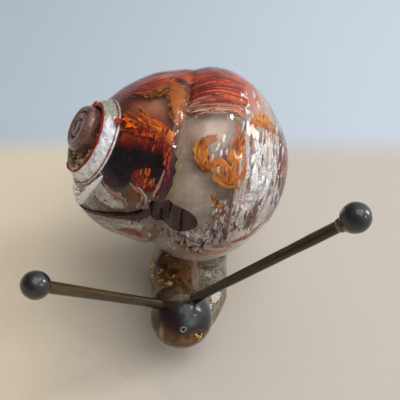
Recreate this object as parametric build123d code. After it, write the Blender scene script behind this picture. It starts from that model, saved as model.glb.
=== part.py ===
from build123d import *
import math
import os

# Lampworked glass snail. Millimetres, +Z up, the head towards -Y.
# The origin is on the flat sole, under the shell.

# Sole and body
FOOT_LENGTH = 34.0
FOOT_HALF_WIDTH = 5.8
FOOT_HEIGHT = 4.4
FOOT_FRONT_Y = -11.0
NECK_LENGTH = 15.5
NECK_HALF_WIDTH = 3.7
NECK_HALF_HEIGHT = 3.6
NECK_X = -2.2
NECK_Z = 5.2
SEAT_HALF_WIDTH = 4.6
SEAT_HALF_LENGTH = 6.0
SEAT_CENTRE = (1.6, 4.0, 3.4)
SEAT_BITE = 3.4

# Head
HEAD_RADIUS = 4.2
HEAD_CENTRE = Vector(-1.1, -12.9, 6.3)
BROW_HALF_WIDTH = 2.8
BROW_HALF_LENGTH = 1.9
BROW_HALF_HEIGHT = 1.3
BROW_PLACE_SHARES = Vector(-0.20, 0.17, 0.82)

# Eye stalks: the root as shares of the head's radius, the direction as shares
# of the length, and the length from the root to the middle of the bead
LEFT_STALK_LENGTH = 23.4
LEFT_ROOT_SHARES = Vector(-0.43, 0.07, 0.55)
LEFT_DIRECTION_SHARES = Vector(-0.568, -0.457, 0.684)
LEFT_BEAD_RADIUS = 1.75
RIGHT_STALK_LENGTH = 27.6
RIGHT_ROOT_SHARES = Vector(0.19, 0.12, 0.62)
RIGHT_DIRECTION_SHARES = Vector(0.681, -0.167, 0.713)
RIGHT_BEAD_RADIUS = 1.9
STALK_ROOT_RADIUS = 0.6
STALK_TIP_RADIUS = 0.75
COLLAR_RADIUS = 0.95

# Shell: its axis starts straight, then bends towards the front and sinks near the tip
SHELL_RADIUS = 13.6
SHELL_LENGTH = 26.6
SHELL_LIFT = 5.8
SHELL_CENTRE = Vector(3.2, 3.0, SHELL_LIFT + SHELL_RADIUS)
WIDEST_SHARE = 0.383
BEND_START_SHARE = 0.609
BEND_END_SHARE = 0.985
TIP_DROP = 0.6
TIP_DROP_START_SHARE = 0.80
AXIS_START = Vector(-0.982, 0.055, 0.181).normalized()
AXIS_END = Vector(-0.803, -0.158, 0.575).normalized()
CASING_WALL = 2.4
SUTURE_WIDTH = 1.7
SUTURE_DEPTH_SHARE = 0.20

# Course of the suture groove: angle and share of the shell's length where it
# starts, and the change of both from one point to the next
SUTURE_FRONT_START = (127, 0.562)
SUTURE_FRONT_STEP = (-32, 0.0072)
SUTURE_FRONT_COUNT = 8
SUTURE_BACK_START = (-123, 0.658)
SUTURE_BACK_STEP = (-26, 0.053)
SUTURE_BACK_COUNT = 7

# Tip of the shell
BUTTON_RADIUS = 3.25
BUTTON_THICKNESS = 3.5
BUTTON_EDGE = 0.9
BUTTON_LIFT = 1.0
THREAD_RADIUS = 0.24
THREAD_PITCH = 1.2
BAND_HEIGHT = 2.0
BAND_MARGIN = 0.10
BAND_TOP_RADIUS = 4.75
BORDER_RADIUS = 0.16
BORDER_LIFT = 0.5

# Half sizes of a gold fleck in the neck or the head
GOLD_FLECK_SIZE = (0.5, 0.75, 0.16)

# Share of the shell's length, share of its widest radius
SHELL_PROFILE_SHARES = (
    (0.015, 0.235),
    (0.056, 0.463),
    (0.128, 0.669),
    (0.233, 0.868),
    (0.327, 0.963),
    (0.421, 1.000),
    (0.496, 0.993),
    (0.571, 0.949),
    (0.684, 0.897),
    (0.797, 0.831),
    (0.872, 0.743),
    (0.932, 0.645),
    (0.977, 0.540),
    (1.000, 0.450),
)

# Opal core: share of the shell's length, share of the room inside the wall.
# It ends in a rounded nose, so that the blunt end of the shell is solid clear glass
CORE_PROFILE_SHARES = (
    (0.195, 0.26),
    (0.225, 0.50),
    (0.270, 0.70),
    (0.330, 0.85),
    (0.400, 0.95),
    (0.480, 1.00),
    (0.580, 1.00),
    (0.684, 1.00),
    (0.797, 1.00),
    (0.860, 0.98),
    (0.905, 0.90),
)
CORE_NOSE_SHARE = 0.18

# Share of the foot's length, of its half width, of its height
FOOT_PROFILE_SHARES = (
    (0.02, 0.40, 0.30),
    (0.08, 0.66, 0.52),
    (0.20, 0.94, 0.80),
    (0.36, 1.00, 1.00),
    (0.55, 0.95, 1.00),
    (0.72, 0.74, 0.82),
    (0.87, 0.46, 0.54),
    (0.96, 0.24, 0.28),
)

# Share of the neck's length, of its half width, of its half height,
# side shift as a share of the half width, rise as a share of the half height
NECK_PROFILE_SHARES = (
    (0.00, 0.84, 0.92, 0.10, -0.06),
    (0.29, 1.00, 1.00, 0.02, 0.00),
    (0.55, 1.00, 0.92, 0.00, -0.04),
    (0.81, 0.89, 0.84, 0.16, 0.06),
    (1.00, 0.78, 0.72, 0.30, 0.28),
)

# Layers in the casing: depth of the outer and inner faces, shares of its wall
TOP_LAYER_SHARES = (0.25, 0.40)
MIDDLE_LAYER_SHARES = (0.46, 0.64)
DEEP_LAYER_SHARES = (0.71, 0.92)

# Colour in the casing. Each row: share of the shell's length, the angle round
# the axis of the middle (0 faces forward, 90 is up), and half the angle covered
BURGUNDY_PATCH_SHARES = (
    (0.632, -33, 9),
    (0.688, -31, 12),
    (0.761, -32, 14),
    (0.835, -36, 18),
    (0.910, -43, 25),
    (0.975, -42, 30),
)
ORANGE_WINDOW_SHARES = ((0.688, -41, 5), (0.760, -42, 6), (0.857, -42, 5))
AMBER_WINDOW_SHARES = ((0.707, -55, 3.5), (0.780, -55, 5), (0.850, -56, 5))
TIP_ORANGE_SHARES = ((0.887, 8, 12), (0.930, 8, 17), (0.977, 6, 16))
CREST_ORANGE_SHARES = ((0.720, 44, 5), (0.810, 46, 8), (0.940, 66, 9))
AMBER_VEIL_SHARES = ((0.624, 14, 12), (0.690, 16, 15), (0.760, 18, 13))
UNDER_ORANGE_SHARES = ((0.700, -100, 4), (0.780, -97, 6), (0.850, -102, 4))
PADDLE_SHARES = (
    (0.455, -58.5, 1.8),
    (0.480, -59.5, 6.5),
    (0.540, -60.5, 9.0),
    (0.600, -61.0, 8.5),
    (0.650, -61.5, 5.5),
    (0.672, -61.5, 2.6),
)
TRAIL_SHARES = ((0.680, -62, 1.7), (0.745, -68, 2.2), (0.835, -80, 2.6), (0.920, -102, 3.4))
ORANGE_STREAK_SHARES = (
    ((0.327, 40, 2.4), (0.440, 39, 3.6), (0.571, 41, 3.2)),
    ((0.327, 30, 1.8), (0.420, 30, 3.0), (0.571, 31, 2.6)),
    ((0.300, 21, 1.8), (0.420, 20.5, 2.6), (0.560, 19, 2.2)),
)
RED_STREAK_SHARES = (
    ((0.330, 34, 1.4), (0.440, 34.5, 1.8), (0.560, 36, 1.6)),
    ((0.350, 26, 1.2), (0.440, 25.5, 1.6), (0.565, 24.5, 1.4)),
    ((0.380, 15, 1.2), (0.460, 14, 1.6), (0.555, 12, 1.3)),
    ((0.330, 9, 1.2), (0.420, 7.5, 1.6), (0.530, 4, 1.2)),
)
ORANGE_LOOP_SHARES = (
    ((0.455, -17, 5.5), (0.480, -16.5, 7.5), (0.500, -16, 5)),
    ((0.350, -26, 4), (0.400, -24, 3.6), (0.440, -24.5, 3)),
    ((0.300, -16, 11), (0.318, -15, 14), (0.338, -17, 12)),
    ((0.180, 15, 4), (0.225, 13, 4.5), (0.285, 6, 4)),
)
SILVER_LEAF_SHARES = (
    ((0.155, -30, 7), (0.200, -36, 13), (0.270, -43, 6)),
    ((0.905, -82, 3), (0.935, -83, 5), (0.965, -84, 3)),
)
PINK_VEIL_SHARES = ((0.230, -80, 7), (0.380, -82, 11), (0.530, -80, 8))
LOWER_RED_SHARES = ((0.150, -78, 3), (0.190, -83, 4), (0.250, -82, 2.6))

# Small leaves near the surface: share of the length, angle
SILVER_FLECK_SHARES = (
    (0.285, 12),
    (0.220, 2),
    (0.130, -11),
    (0.150, -24),
    (0.240, -12),
    (0.300, -38),
    (0.250, -48),
    (0.350, -18),
    (0.390, -52),
    (0.330, -64),
    (0.100, -38),
    (0.400, -36),
)
FLECK_SPAN_SHARE = 0.028
FLECK_HALF_ANGLE = 2.2

# Gold flecks in the neck: shares of its length, half width and half height
GOLD_FLECK_SHARES = (
    (0.40, -0.62, 0.36),
    (0.50, -0.66, 0.26),
    (0.58, -0.55, 0.40),
    (0.47, -0.40, 0.56),
    (0.66, -0.60, 0.22),
    (0.33, -0.50, 0.50),
)

# Gold flecks in the head: place as shares of its radius
HEAD_FLECK_SHARES = (
    Vector(0.56, -0.60, 0.19),
    Vector(0.34, -0.76, -0.02),
)


def whorl_plane(share):
    """Plane square to the shell's bent axis, X forward and Y up."""
    place = (share - WIDEST_SHARE) * SHELL_LENGTH
    start = (BEND_START_SHARE - WIDEST_SHARE) * SHELL_LENGTH
    arc_length = (BEND_END_SHARE - BEND_START_SHARE) * SHELL_LENGTH
    forward = (AXIS_END - AXIS_START * AXIS_END.dot(AXIS_START)).normalized()
    full_turn = math.acos(AXIS_START.dot(AXIS_END))
    turn = full_turn * min(max((place - start) / arc_length, 0), 1)
    bend_radius = arc_length / full_turn
    centre = SHELL_CENTRE + AXIS_START * min(place, start)
    if turn > 0:
        centre += AXIS_START * (bend_radius * math.sin(turn))
        centre += forward * (bend_radius * (1 - math.cos(turn)))
    direction = AXIS_START * math.cos(turn) + forward * math.sin(turn)
    if place > start + arc_length:
        centre += direction * (place - start - arc_length)
    side = forward * math.cos(turn) - AXIS_START * math.sin(turn)
    sunk = max((share - TIP_DROP_START_SHARE) / (1 - TIP_DROP_START_SHARE), 0) ** 2
    centre -= direction.cross(side) * (TIP_DROP * sunk)
    return Plane(origin=centre, x_dir=side, z_dir=direction)


def shell_radius(share):
    """Outer radius of the shell at a share of its length."""
    stations = ((0.0, 0.0),) + SHELL_PROFILE_SHARES
    for (near, small), (far, large) in zip(stations, stations[1:]):
        if share <= far:
            part = (share - near) / (far - near)
            return SHELL_RADIUS * (small + (large - small) * part)
    return SHELL_RADIUS * stations[-1][1]


def shell_loft():
    """Whole body of the shell, up to its flat end."""
    sections = []
    for share, size in SHELL_PROFILE_SHARES:
        sections.append(whorl_plane(share) * Circle(SHELL_RADIUS * size))
    tip = whorl_plane(0.0).origin
    return loft([Vertex(*tip)] + sections)


def core_loft():
    """Opal core, a steady wall's thickness inside the shell."""
    sections = []
    for share, fill in CORE_PROFILE_SHARES:
        radius = (shell_radius(share) - CASING_WALL) * fill
        sections.append(whorl_plane(share) * Circle(radius))
    nose = whorl_plane(CORE_NOSE_SHARE).origin
    return loft([Vertex(*nose)] + sections)


def suture_stations(start, step, count):
    """Even steps of angle and share of the length along the groove."""
    return [(start[0] + step[0] * i, start[1] + step[1] * i) for i in range(count)]


def suture_cutter():
    """Round groove that circles the shell once and climbs its back to the tip."""
    front = suture_stations(SUTURE_FRONT_START, SUTURE_FRONT_STEP, SUTURE_FRONT_COUNT)
    back = suture_stations(SUTURE_BACK_START, SUTURE_BACK_STEP, SUTURE_BACK_COUNT)
    stations = front + back
    full_depth = CASING_WALL * SUTURE_DEPTH_SHARE
    points = []
    for angle, share in stations:
        plane = whorl_plane(share)
        depth = full_depth
        if (angle, share) in (stations[0], stations[-1]):
            depth = -full_depth
        reach = shell_radius(share) + SUTURE_WIDTH / 2 - depth
        turn = math.radians(angle)
        local = (reach * math.cos(turn), reach * math.sin(turn), 0)
        points.append(plane.from_local_coords(Vector(*local)))
    path = Spline(*points)
    profile = Plane(origin=path @ 0, z_dir=path % 0) * Circle(SUTURE_WIDTH / 2)
    return sweep(profile, path=path)


def sector(share, middle, half, layer):
    """Flat piece of one layer of the casing, square to the axis."""
    radius = shell_radius(share)
    outer = radius - CASING_WALL * layer[0]
    inner = radius - CASING_WALL * layer[1]
    outside = CenterArc((0, 0), outer, middle - half, 2 * half)
    inside = CenterArc((0, 0), inner, middle - half, 2 * half)
    start = Line(outside @ 0, inside @ 0)
    end = Line(outside @ 1, inside @ 1)
    return whorl_plane(share) * make_face([outside, start, inside, end])


def ribbon(rows, layer):
    """Sheet of colour in the casing that follows the shell's curve."""
    return loft([sector(*row, layer) for row in rows])


def silver_fleck(share, angle):
    """Small leaf near the surface of the casing."""
    half_span = FLECK_SPAN_SHARE / 2
    ends = (share - half_span, share + half_span)
    return ribbon([(end, angle, FLECK_HALF_ANGLE) for end in ends], TOP_LAYER_SHARES)


def group(name, solids):
    """Several separate solids under one name."""
    result = Compound(children=list(solids))
    result.label = name
    return result


def ellipsoid(centre, size):
    """Rounded lump of glass."""
    return Pos(*centre) * scale(Sphere(1), by=size)


def make_foot():
    """Flat-soled foot, blunt in front and drawn out to a tail."""
    sections = []
    for along, width, height in FOOT_PROFILE_SHARES:
        centre = (0, FOOT_FRONT_Y + FOOT_LENGTH * along, 0)
        plane = Plane(origin=centre, x_dir=(1, 0, 0), z_dir=(0, 1, 0))
        oval = Ellipse(FOOT_HALF_WIDTH * width, FOOT_HEIGHT * height)
        sections.append(plane * oval)
    front = Vertex(0, FOOT_FRONT_Y, 0)
    tail = Vertex(0, FOOT_FRONT_Y + FOOT_LENGTH, 0)
    whole = loft([front] + sections + [tail])
    return split(whole, bisect_by=Plane.XY, keep=Keep.TOP)


def neck_section(along, width, height, shift, rise):
    """Oval slice of the neck and the point at its centre."""
    centre = Vector(
        NECK_X + NECK_HALF_WIDTH * shift,
        HEAD_CENTRE.Y + NECK_LENGTH * (1 - along),
        NECK_Z + NECK_HALF_HEIGHT * rise,
    )
    plane = Plane(origin=centre, x_dir=(1, 0, 0), z_dir=(0, -1, 0))
    return plane * Ellipse(NECK_HALF_WIDTH * width, NECK_HALF_HEIGHT * height)


def make_neck(foot, head, seat, shell):
    """Amber column from the foot up to the head."""
    column = loft([neck_section(*row) for row in NECK_PROFILE_SHARES])
    return column - foot - head - seat - shell


def gold_fleck(along, across, up):
    """One flake of leaf inside the neck."""
    centre = (
        NECK_X + NECK_HALF_WIDTH * across,
        HEAD_CENTRE.Y + NECK_LENGTH * (1 - along),
        NECK_Z + NECK_HALF_HEIGHT * up,
    )
    lean = Rot(0, math.degrees(math.atan2(across, up)), 0)
    return Pos(*centre) * lean * scale(Sphere(1), by=GOLD_FLECK_SIZE)


def head_fleck(shares):
    """One flake of leaf just under the face of the head."""
    flake = scale(Sphere(1), by=GOLD_FLECK_SIZE)
    return Plane(origin=head_point(shares), z_dir=shares) * flake


def head_point(shares):
    """Point in or on the head, in shares of its radius from its centre."""
    return HEAD_CENTRE + shares * HEAD_RADIUS


def make_rod(root, direction, length):
    """Slim tapered rod from the head to the middle of its eye bead."""
    cone = Cone(
        STALK_ROOT_RADIUS,
        STALK_TIP_RADIUS,
        length,
        align=(Align.CENTER, Align.CENTER, Align.MIN),
    )
    return Plane(origin=root, z_dir=direction) * cone


def make_collar(root, direction, length, bead_radius):
    """Small knot of glass where the rod meets the right bead."""
    place = root + direction.normalized() * (length - bead_radius)
    return Pos(*place) * Sphere(COLLAR_RADIUS)


def make_button():
    """Flat coil of glass that closes the tip of the shell."""
    plane = whorl_plane(1.0)
    button = Cylinder(
        BUTTON_RADIUS,
        BUTTON_THICKNESS,
        align=(Align.CENTER, Align.CENTER, Align.MIN),
    )
    rim = button.edges().sort_by(Axis.Z)[-1]
    button = fillet(rim, BUTTON_EDGE)
    return plane * Pos(0, BUTTON_LIFT, 0) * button


def spiral_path():
    """Flat spiral of half circles that shrink towards the middle."""
    arcs = []
    radius = BUTTON_RADIUS - BUTTON_EDGE - 2 * THREAD_RADIUS
    centre = 0
    side = 1
    while radius > THREAD_PITCH / 2:
        start = 0 if side > 0 else 180
        arcs.append(CenterArc((centre, 0), radius, start, 180))
        smaller = radius - THREAD_PITCH / 2
        centre -= side * (radius - smaller)
        radius = smaller
        side = -side
    return Wire(arcs)


def make_spiral_thread():
    """Dark thread wound into the face of the button."""
    path = spiral_path()
    start = Plane(origin=path @ 0, z_dir=path % 0)
    thread = sweep(start * Circle(THREAD_RADIUS), path=path)
    return whorl_plane(1.0) * Pos(0, BUTTON_LIFT, BUTTON_THICKNESS) * thread


def make_band():
    """Bright sloping collar on the end of the shell, round the button."""
    base_radius = shell_radius(1.0) - BAND_MARGIN
    low = (Align.CENTER, Align.CENTER, Align.MIN)
    cone = Cone(base_radius, BAND_TOP_RADIUS, BAND_HEIGHT, align=low)
    hole = Cylinder(BUTTON_RADIUS, BAND_HEIGHT, align=low)
    return whorl_plane(1.0) * (cone - Pos(0, BUTTON_LIFT) * hole)


def make_border(height):
    """Thin red ring half sunk in the slope of the bright collar."""
    base_radius = shell_radius(1.0) - BAND_MARGIN
    radius = base_radius + (BAND_TOP_RADIUS - base_radius) * height / BAND_HEIGHT
    return whorl_plane(1.0) * Pos(0, 0, height) * Torus(radius, BORDER_RADIUS)


def casing_colours():
    """Every piece of colour that lies inside the clear casing."""
    top = TOP_LAYER_SHARES
    middle = MIDDLE_LAYER_SHARES
    deep = DEEP_LAYER_SHARES
    return {
        "burgundy_patch": [ribbon(BURGUNDY_PATCH_SHARES, middle)],
        "orange_window": [ribbon(ORANGE_WINDOW_SHARES, top)],
        "amber_window": [ribbon(AMBER_WINDOW_SHARES, top)],
        "tip_orange_patch": [ribbon(TIP_ORANGE_SHARES, middle)],
        "crest_orange_strip": [ribbon(CREST_ORANGE_SHARES, middle)],
        "amber_veil": [ribbon(AMBER_VEIL_SHARES, deep)],
        "under_orange_strip": [ribbon(UNDER_ORANGE_SHARES, middle)],
        "burgundy_paddle": [ribbon(PADDLE_SHARES, top)],
        "burgundy_trail": [ribbon(TRAIL_SHARES, top)],
        "orange_streaks": [ribbon(rows, middle) for rows in ORANGE_STREAK_SHARES],
        "red_streaks": [ribbon(rows, top) for rows in RED_STREAK_SHARES],
        "orange_loops": [ribbon(rows, middle) for rows in ORANGE_LOOP_SHARES],
        "silver_leaf": [ribbon(rows, middle) for rows in SILVER_LEAF_SHARES],
        "pink_veil": [ribbon(PINK_VEIL_SHARES, deep)],
        "lower_red_streak": [ribbon(LOWER_RED_SHARES, middle)],
        "silver_flecks": [silver_fleck(*row) for row in SILVER_FLECK_SHARES],
    }


def make_shell():
    """Casing, core and the colour between them."""
    outside = shell_loft() - suture_cutter()
    core = core_loft()
    colours = casing_colours()
    casing = outside - [core] - [piece for pieces in colours.values() for piece in pieces]
    nodes = {"shell_casing": casing, "opal_core": core}
    nodes.update({name: group(name, pieces) for name, pieces in colours.items()})
    return outside, nodes


def make_tip():
    """Button, its spiral thread, the bright collar and its red borders."""
    thread = make_spiral_thread()
    button = make_button() - thread
    borders = [make_border(height) for height in (BORDER_LIFT, BAND_HEIGHT)]
    band = make_band() - borders
    return {
        "apex_button": button,
        "apex_spiral_thread": thread,
        "silver_groove_band": band,
        "groove_border_threads": group("groove_border_threads", borders),
    }


def make_body(shell):
    """Foot, seat of the shell, neck, gold flecks, head and eyes."""
    foot = make_foot()
    head = Pos(*HEAD_CENTRE) * Sphere(HEAD_RADIUS)
    seat_height = SHELL_LIFT + SEAT_BITE - SEAT_CENTRE[2]
    lump = ellipsoid(SEAT_CENTRE, (SEAT_HALF_WIDTH, SEAT_HALF_LENGTH, seat_height))
    middle = Plane(origin=SEAT_CENTRE, z_dir=(0, 0, 1))
    seat = split(lump, bisect_by=middle, keep=Keep.TOP) - foot - shell
    neck = make_neck(foot, head, seat, shell)
    neck_flecks = [gold_fleck(*row) for row in GOLD_FLECK_SHARES]
    head_flecks = [head_fleck(shares) for shares in HEAD_FLECK_SHARES]
    neck = neck - neck_flecks
    bead = head - head_flecks
    nodes = {
        "foot": foot,
        "shell_seat": seat,
        "neck": neck,
        "gold_flecks": group("gold_flecks", neck_flecks + head_flecks),
        "head_bead": bead,
    }
    nodes.update(make_eyes(head))
    return nodes


def make_eyes(head):
    """Brow, eye stalks, their beads and the knot below the right bead."""
    nodes = {}
    left_root = head_point(LEFT_ROOT_SHARES)
    right_root = head_point(RIGHT_ROOT_SHARES)
    left_tip = left_root + LEFT_DIRECTION_SHARES.normalized() * LEFT_STALK_LENGTH
    right_tip = right_root + RIGHT_DIRECTION_SHARES.normalized() * RIGHT_STALK_LENGTH
    left_bead = Pos(*left_tip) * Sphere(LEFT_BEAD_RADIUS)
    right_bead = Pos(*right_tip) * Sphere(RIGHT_BEAD_RADIUS)
    collar = make_collar(
        right_root, RIGHT_DIRECTION_SHARES, RIGHT_STALK_LENGTH, RIGHT_BEAD_RADIUS
    )
    collar = collar - right_bead
    left_rod = make_rod(left_root, LEFT_DIRECTION_SHARES, LEFT_STALK_LENGTH)
    right_rod = make_rod(right_root, RIGHT_DIRECTION_SHARES, RIGHT_STALK_LENGTH)
    nodes["left_stalk"] = left_rod - head - left_bead
    nodes["right_stalk"] = right_rod - head - right_bead - collar
    nodes["left_eye_bead"] = left_bead
    nodes["right_eye_bead"] = right_bead
    nodes["right_collar"] = collar
    size = (BROW_HALF_WIDTH, BROW_HALF_LENGTH, BROW_HALF_HEIGHT)
    brow = ellipsoid(head_point(BROW_PLACE_SHARES), size)
    nodes["brow_bridge"] = brow - head - left_rod - right_rod
    return nodes


def write(name, shape):
    """Write one sub-part as a STEP file."""
    shape.label = name
    export_step(shape, f"parts/{name}.step")
    print(name, round(shape.volume, 2))


def main():
    """Build every sub-part and write it."""
    os.makedirs("parts", exist_ok=True)
    outside, nodes = make_shell()
    nodes.update(make_tip())
    nodes.update(make_body(outside))
    for name, shape in nodes.items():
        write(name, shape)


if __name__ == "__main__":
    main()
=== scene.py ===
import random
from bisect import bisect_right
from math import acos, cos, exp, hypot, pi, radians, sin, sqrt
import bmesh
import bpy
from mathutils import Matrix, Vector
from mathutils.kdtree import KDTree
from mathutils.noise import noise


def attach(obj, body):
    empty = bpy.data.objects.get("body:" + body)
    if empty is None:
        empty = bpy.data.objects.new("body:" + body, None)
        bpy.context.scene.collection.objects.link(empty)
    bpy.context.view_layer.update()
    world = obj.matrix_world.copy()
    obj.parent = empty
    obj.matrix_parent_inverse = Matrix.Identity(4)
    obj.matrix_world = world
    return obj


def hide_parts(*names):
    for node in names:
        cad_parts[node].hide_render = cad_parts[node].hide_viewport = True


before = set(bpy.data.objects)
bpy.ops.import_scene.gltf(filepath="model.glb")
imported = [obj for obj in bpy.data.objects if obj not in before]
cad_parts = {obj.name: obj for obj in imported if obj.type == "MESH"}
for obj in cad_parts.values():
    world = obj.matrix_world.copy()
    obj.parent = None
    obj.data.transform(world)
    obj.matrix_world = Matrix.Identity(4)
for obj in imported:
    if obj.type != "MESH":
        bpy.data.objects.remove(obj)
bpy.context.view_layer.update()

MM = 0.001
TURN = 2 * pi
X_AXIS = Vector((1, 0, 0))
Y_AXIS = Vector((0, 1, 0))
Z_AXIS = Vector((0, 0, 1))

# Shell: a bent axis and a profile, in millimetres, as in the CAD
SHELL_RADIUS = 13.6
SHELL_LENGTH = 26.6
SHELL_CENTRE = Vector((3.2, 3.0, 19.4))
WIDEST = 0.383
BEND_START = 0.609
BEND_END = 0.985
TIP_DROP = 0.6
TIP_DROP_START = 0.80
AXIS_START = Vector((-0.982, 0.055, 0.181)).normalized()
AXIS_END = Vector((-0.803, -0.158, 0.575)).normalized()
WALL = 2.4
PROFILE = (
    (0.0, 0.0), (0.015, 0.235), (0.056, 0.463), (0.128, 0.669), (0.233, 0.868), (0.327, 0.963),
    (0.421, 1.0), (0.496, 0.993), (0.571, 0.949), (0.684, 0.897), (0.797, 0.831), (0.872, 0.743),
    (0.932, 0.645), (0.977, 0.54), (1.0, 0.45),
)
CORE_PROFILE = (
    (0.18, 0.0), (0.188, 0.18), (0.205, 0.36), (0.235, 0.55), (0.28, 0.73), (0.34, 0.86),
    (0.4, 0.95), (0.48, 1.0), (0.684, 1.0), (0.797, 1.0), (0.86, 0.98), (0.905, 0.9),
)
SUTURE = [(127 - 32 * i, 0.562 + 0.0072 * i) for i in range(8)]
SUTURE += [(-123 - 26 * i, 0.658 + 0.053 * i) for i in range(7)]
SUTURE_STEPS = 400

# Surface of the hand-made glass, in millimetres
GROOVE_DEPTH = 0.85
GROOVE_WIDTH = 0.75
SHOULDER_DEPTH = 0.30
SHOULDER_WIDTH = 2.6
WAVE = 0.26
RIPPLE = 0.12
RIBS = 0.26
SWELL = 1.1

HEAD_CENTRE = Vector((-1.1, -12.9, 6.3))
HEAD_RADIUS = 4.2


def srgb(*values):
    """Linear colour from the eight bit values of a display."""
    out = []
    for value in values:
        value /= 255
        out.append(value / 12.92 if value <= 0.04045 else ((value + 0.055) / 1.055) ** 2.4)
    return (*out, 1.0)


def tones(*rows):
    """Palette of linear colours."""
    return tuple(srgb(*row) for row in rows)


def within(low, high, value):
    """The value, kept between two bounds."""
    return min(max(value, low), high)


def step(low, high, value):
    """Smooth step from 0 to 1."""
    part = within(0.0, 1.0, (value - low) / (high - low))
    return part * part * (3 - 2 * part)


def bell(distance):
    """1 at no distance, smoothly down to 0."""
    return exp(-distance * distance)


def near(x, y, middle_x, middle_y, spread_x, spread_y):
    """1 at the middle of a soft oval spot, 0 outside it."""
    return exp(-(((x - middle_x) / spread_x) ** 2 + ((y - middle_y) / spread_y) ** 2))


def taper(place, power, least=0.0):
    """Thickness along a line: full in the middle, round at both ends."""
    return sqrt(max(1 - abs(2 * place - 1) ** power, least))


def mix(a, b, part):
    """Straight blend of two tuples of numbers."""
    return tuple(x + (y - x) * part for x, y in zip(a, b))


def layered(colour, *layers):
    """A colour with the (colour, share) layers over it, one after the other."""
    for paint, part in layers:
        colour = mix(colour, paint, part)
    return colour


def half_noise(place):
    """Noise between 0 and 1."""
    return 0.5 + 0.5 * noise(place)


def spline(points, place, closed=False):
    """Point on a smooth line through the given points, place from 0 to 1."""
    count = len(points)
    spans = count if closed else count - 1
    along = within(0.0, 1.0, place) * spans
    index = min(int(along), spans - 1)
    t = along - index
    if closed:
        picked = [points[(index + i) % count] for i in (-1, 0, 1, 2)]
    else:
        before = [2 * a - b for a, b in zip(points[0], points[1])]
        after = [2 * a - b for a, b in zip(points[-1], points[-2])]
        picked = [before, *points, after][index:index + 4]
    result = []
    for a, b, c, d in zip(*picked):
        value = 2 * b + (c - a) * t + (2 * a - 5 * b + 4 * c - d) * t * t
        value += (3 * b - a - 3 * c + d) * t * t * t
        result.append(value / 2)
    return tuple(result)


def table(rows, key):
    """Second number of the rows where the first is key, with straight runs."""
    for (low, first), (high, second) in zip(rows, rows[1:]):
        if key <= high:
            return first + (second - first) * max(key - low, 0) / (high - low)
    return rows[-1][1]


def axis_frame(share):
    """Centre, forward, up and axis direction of the shell at a share of its length."""
    place = (share - WIDEST) * SHELL_LENGTH
    start = (BEND_START - WIDEST) * SHELL_LENGTH
    arc_length = (BEND_END - BEND_START) * SHELL_LENGTH
    forward = (AXIS_END - AXIS_START * AXIS_END.dot(AXIS_START)).normalized()
    full_turn = acos(AXIS_START.dot(AXIS_END))
    turn = full_turn * within(0, 1, (place - start) / arc_length)
    bend_radius = arc_length / full_turn
    centre = SHELL_CENTRE + AXIS_START * min(place, start)
    if turn > 0:
        centre = centre + AXIS_START * (bend_radius * sin(turn))
        centre = centre + forward * (bend_radius * (1 - cos(turn)))
    direction = AXIS_START * cos(turn) + forward * sin(turn)
    if place > start + arc_length:
        centre = centre + direction * (place - start - arc_length)
    side = forward * cos(turn) - AXIS_START * sin(turn)
    up = direction.cross(side)
    sunk = max((share - TIP_DROP_START) / (1 - TIP_DROP_START), 0) ** 2
    return centre - up * (TIP_DROP * sunk), side, up, direction


def smooth_profile():
    """Dense (share, radius) rows of the profile, round at the blunt end."""
    mirrored = [(-a, -b) for a, b in PROFILE[:0:-1]][-2:] + list(PROFILE)
    rows = []
    for i in range(561):
        share, size = spline(mirrored, (2 + 14 * i / 560) / 16)
        rows.append((max(share, 0.0), max(size, 0.0) * SHELL_RADIUS))
    return rows


DENSE = smooth_profile()
SHARES = [row[0] for row in DENSE]


def radius_at(share):
    """Radius of the smooth profile at a share of the length."""
    low = within(0, len(DENSE) - 2, bisect_right(SHARES, share) - 1)
    first, second = DENSE[low], DENSE[low + 1]
    if second[0] <= first[0]:
        return second[1]
    part = within(0, 1, (share - first[0]) / (second[0] - first[0]))
    return first[1] + (second[1] - first[1]) * part


def plain_point(share, angle, radius):
    """Point at a distance from the axis."""
    centre, side, up, _ = axis_frame(share)
    turn = radians(angle)
    return centre + (side * cos(turn) + up * sin(turn)) * radius


def suture_tree():
    """Dense points of the groove between the whorls."""
    tree = KDTree(SUTURE_STEPS + 1)
    for i in range(SUTURE_STEPS + 1):
        angle, share = spline(SUTURE, i / SUTURE_STEPS)
        tree.insert(plain_point(share, angle, radius_at(share)), i)
    tree.balance()
    return tree


TREE = suture_tree()


def from_front(angle):
    """The same angle between -180 and 180."""
    return (angle + 180) % 360 - 180


def sink(share, angle):
    """How far the real glass lies below the profile: groove and hand-made wobble."""
    point = plain_point(share, angle, radius_at(share))
    _, index, distance = TREE.find(point)
    along = index / SUTURE_STEPS
    suture_angle, suture_share = spline(SUTURE, along)
    fade = step(0.0, 0.08, along) * (1 - step(0.80, 1.0, along))
    fade *= 1 - 0.85 * step(20, 48, suture_angle)
    groove = GROOVE_DEPTH * bell(distance / GROOVE_WIDTH)
    if share < suture_share:
        groove += SHOULDER_DEPTH * bell(distance / SHOULDER_WIDTH)
    wobble = WAVE * half_noise(point * 0.16)
    wobble += RIPPLE * half_noise(point * 0.42 + Vector((9.1, 2.0, 4.0)))
    right = step(0.02, 0.09, share) * (1 - step(0.26, 0.40, share))
    low = step(-48, -66, from_front(angle)) * (1 - step(0.60, 0.75, share))
    ribs = RIBS * half_noise(Vector((share * 42, from_front(angle) * 0.035, 6.0)))
    swell = SWELL * bell(from_front(angle + 128) / 32) * step(0.70, 0.92, share)
    damp = step(0.0, 0.10, share)
    return groove * fade + wobble * damp + ribs * max(right, 0.9 * low) - swell


def on_shell(share, angle, depth):
    """Point a depth below the real surface of the glass."""
    return plain_point(share, angle, radius_at(share) - sink(share, angle) - depth)


# Meshes


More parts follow.
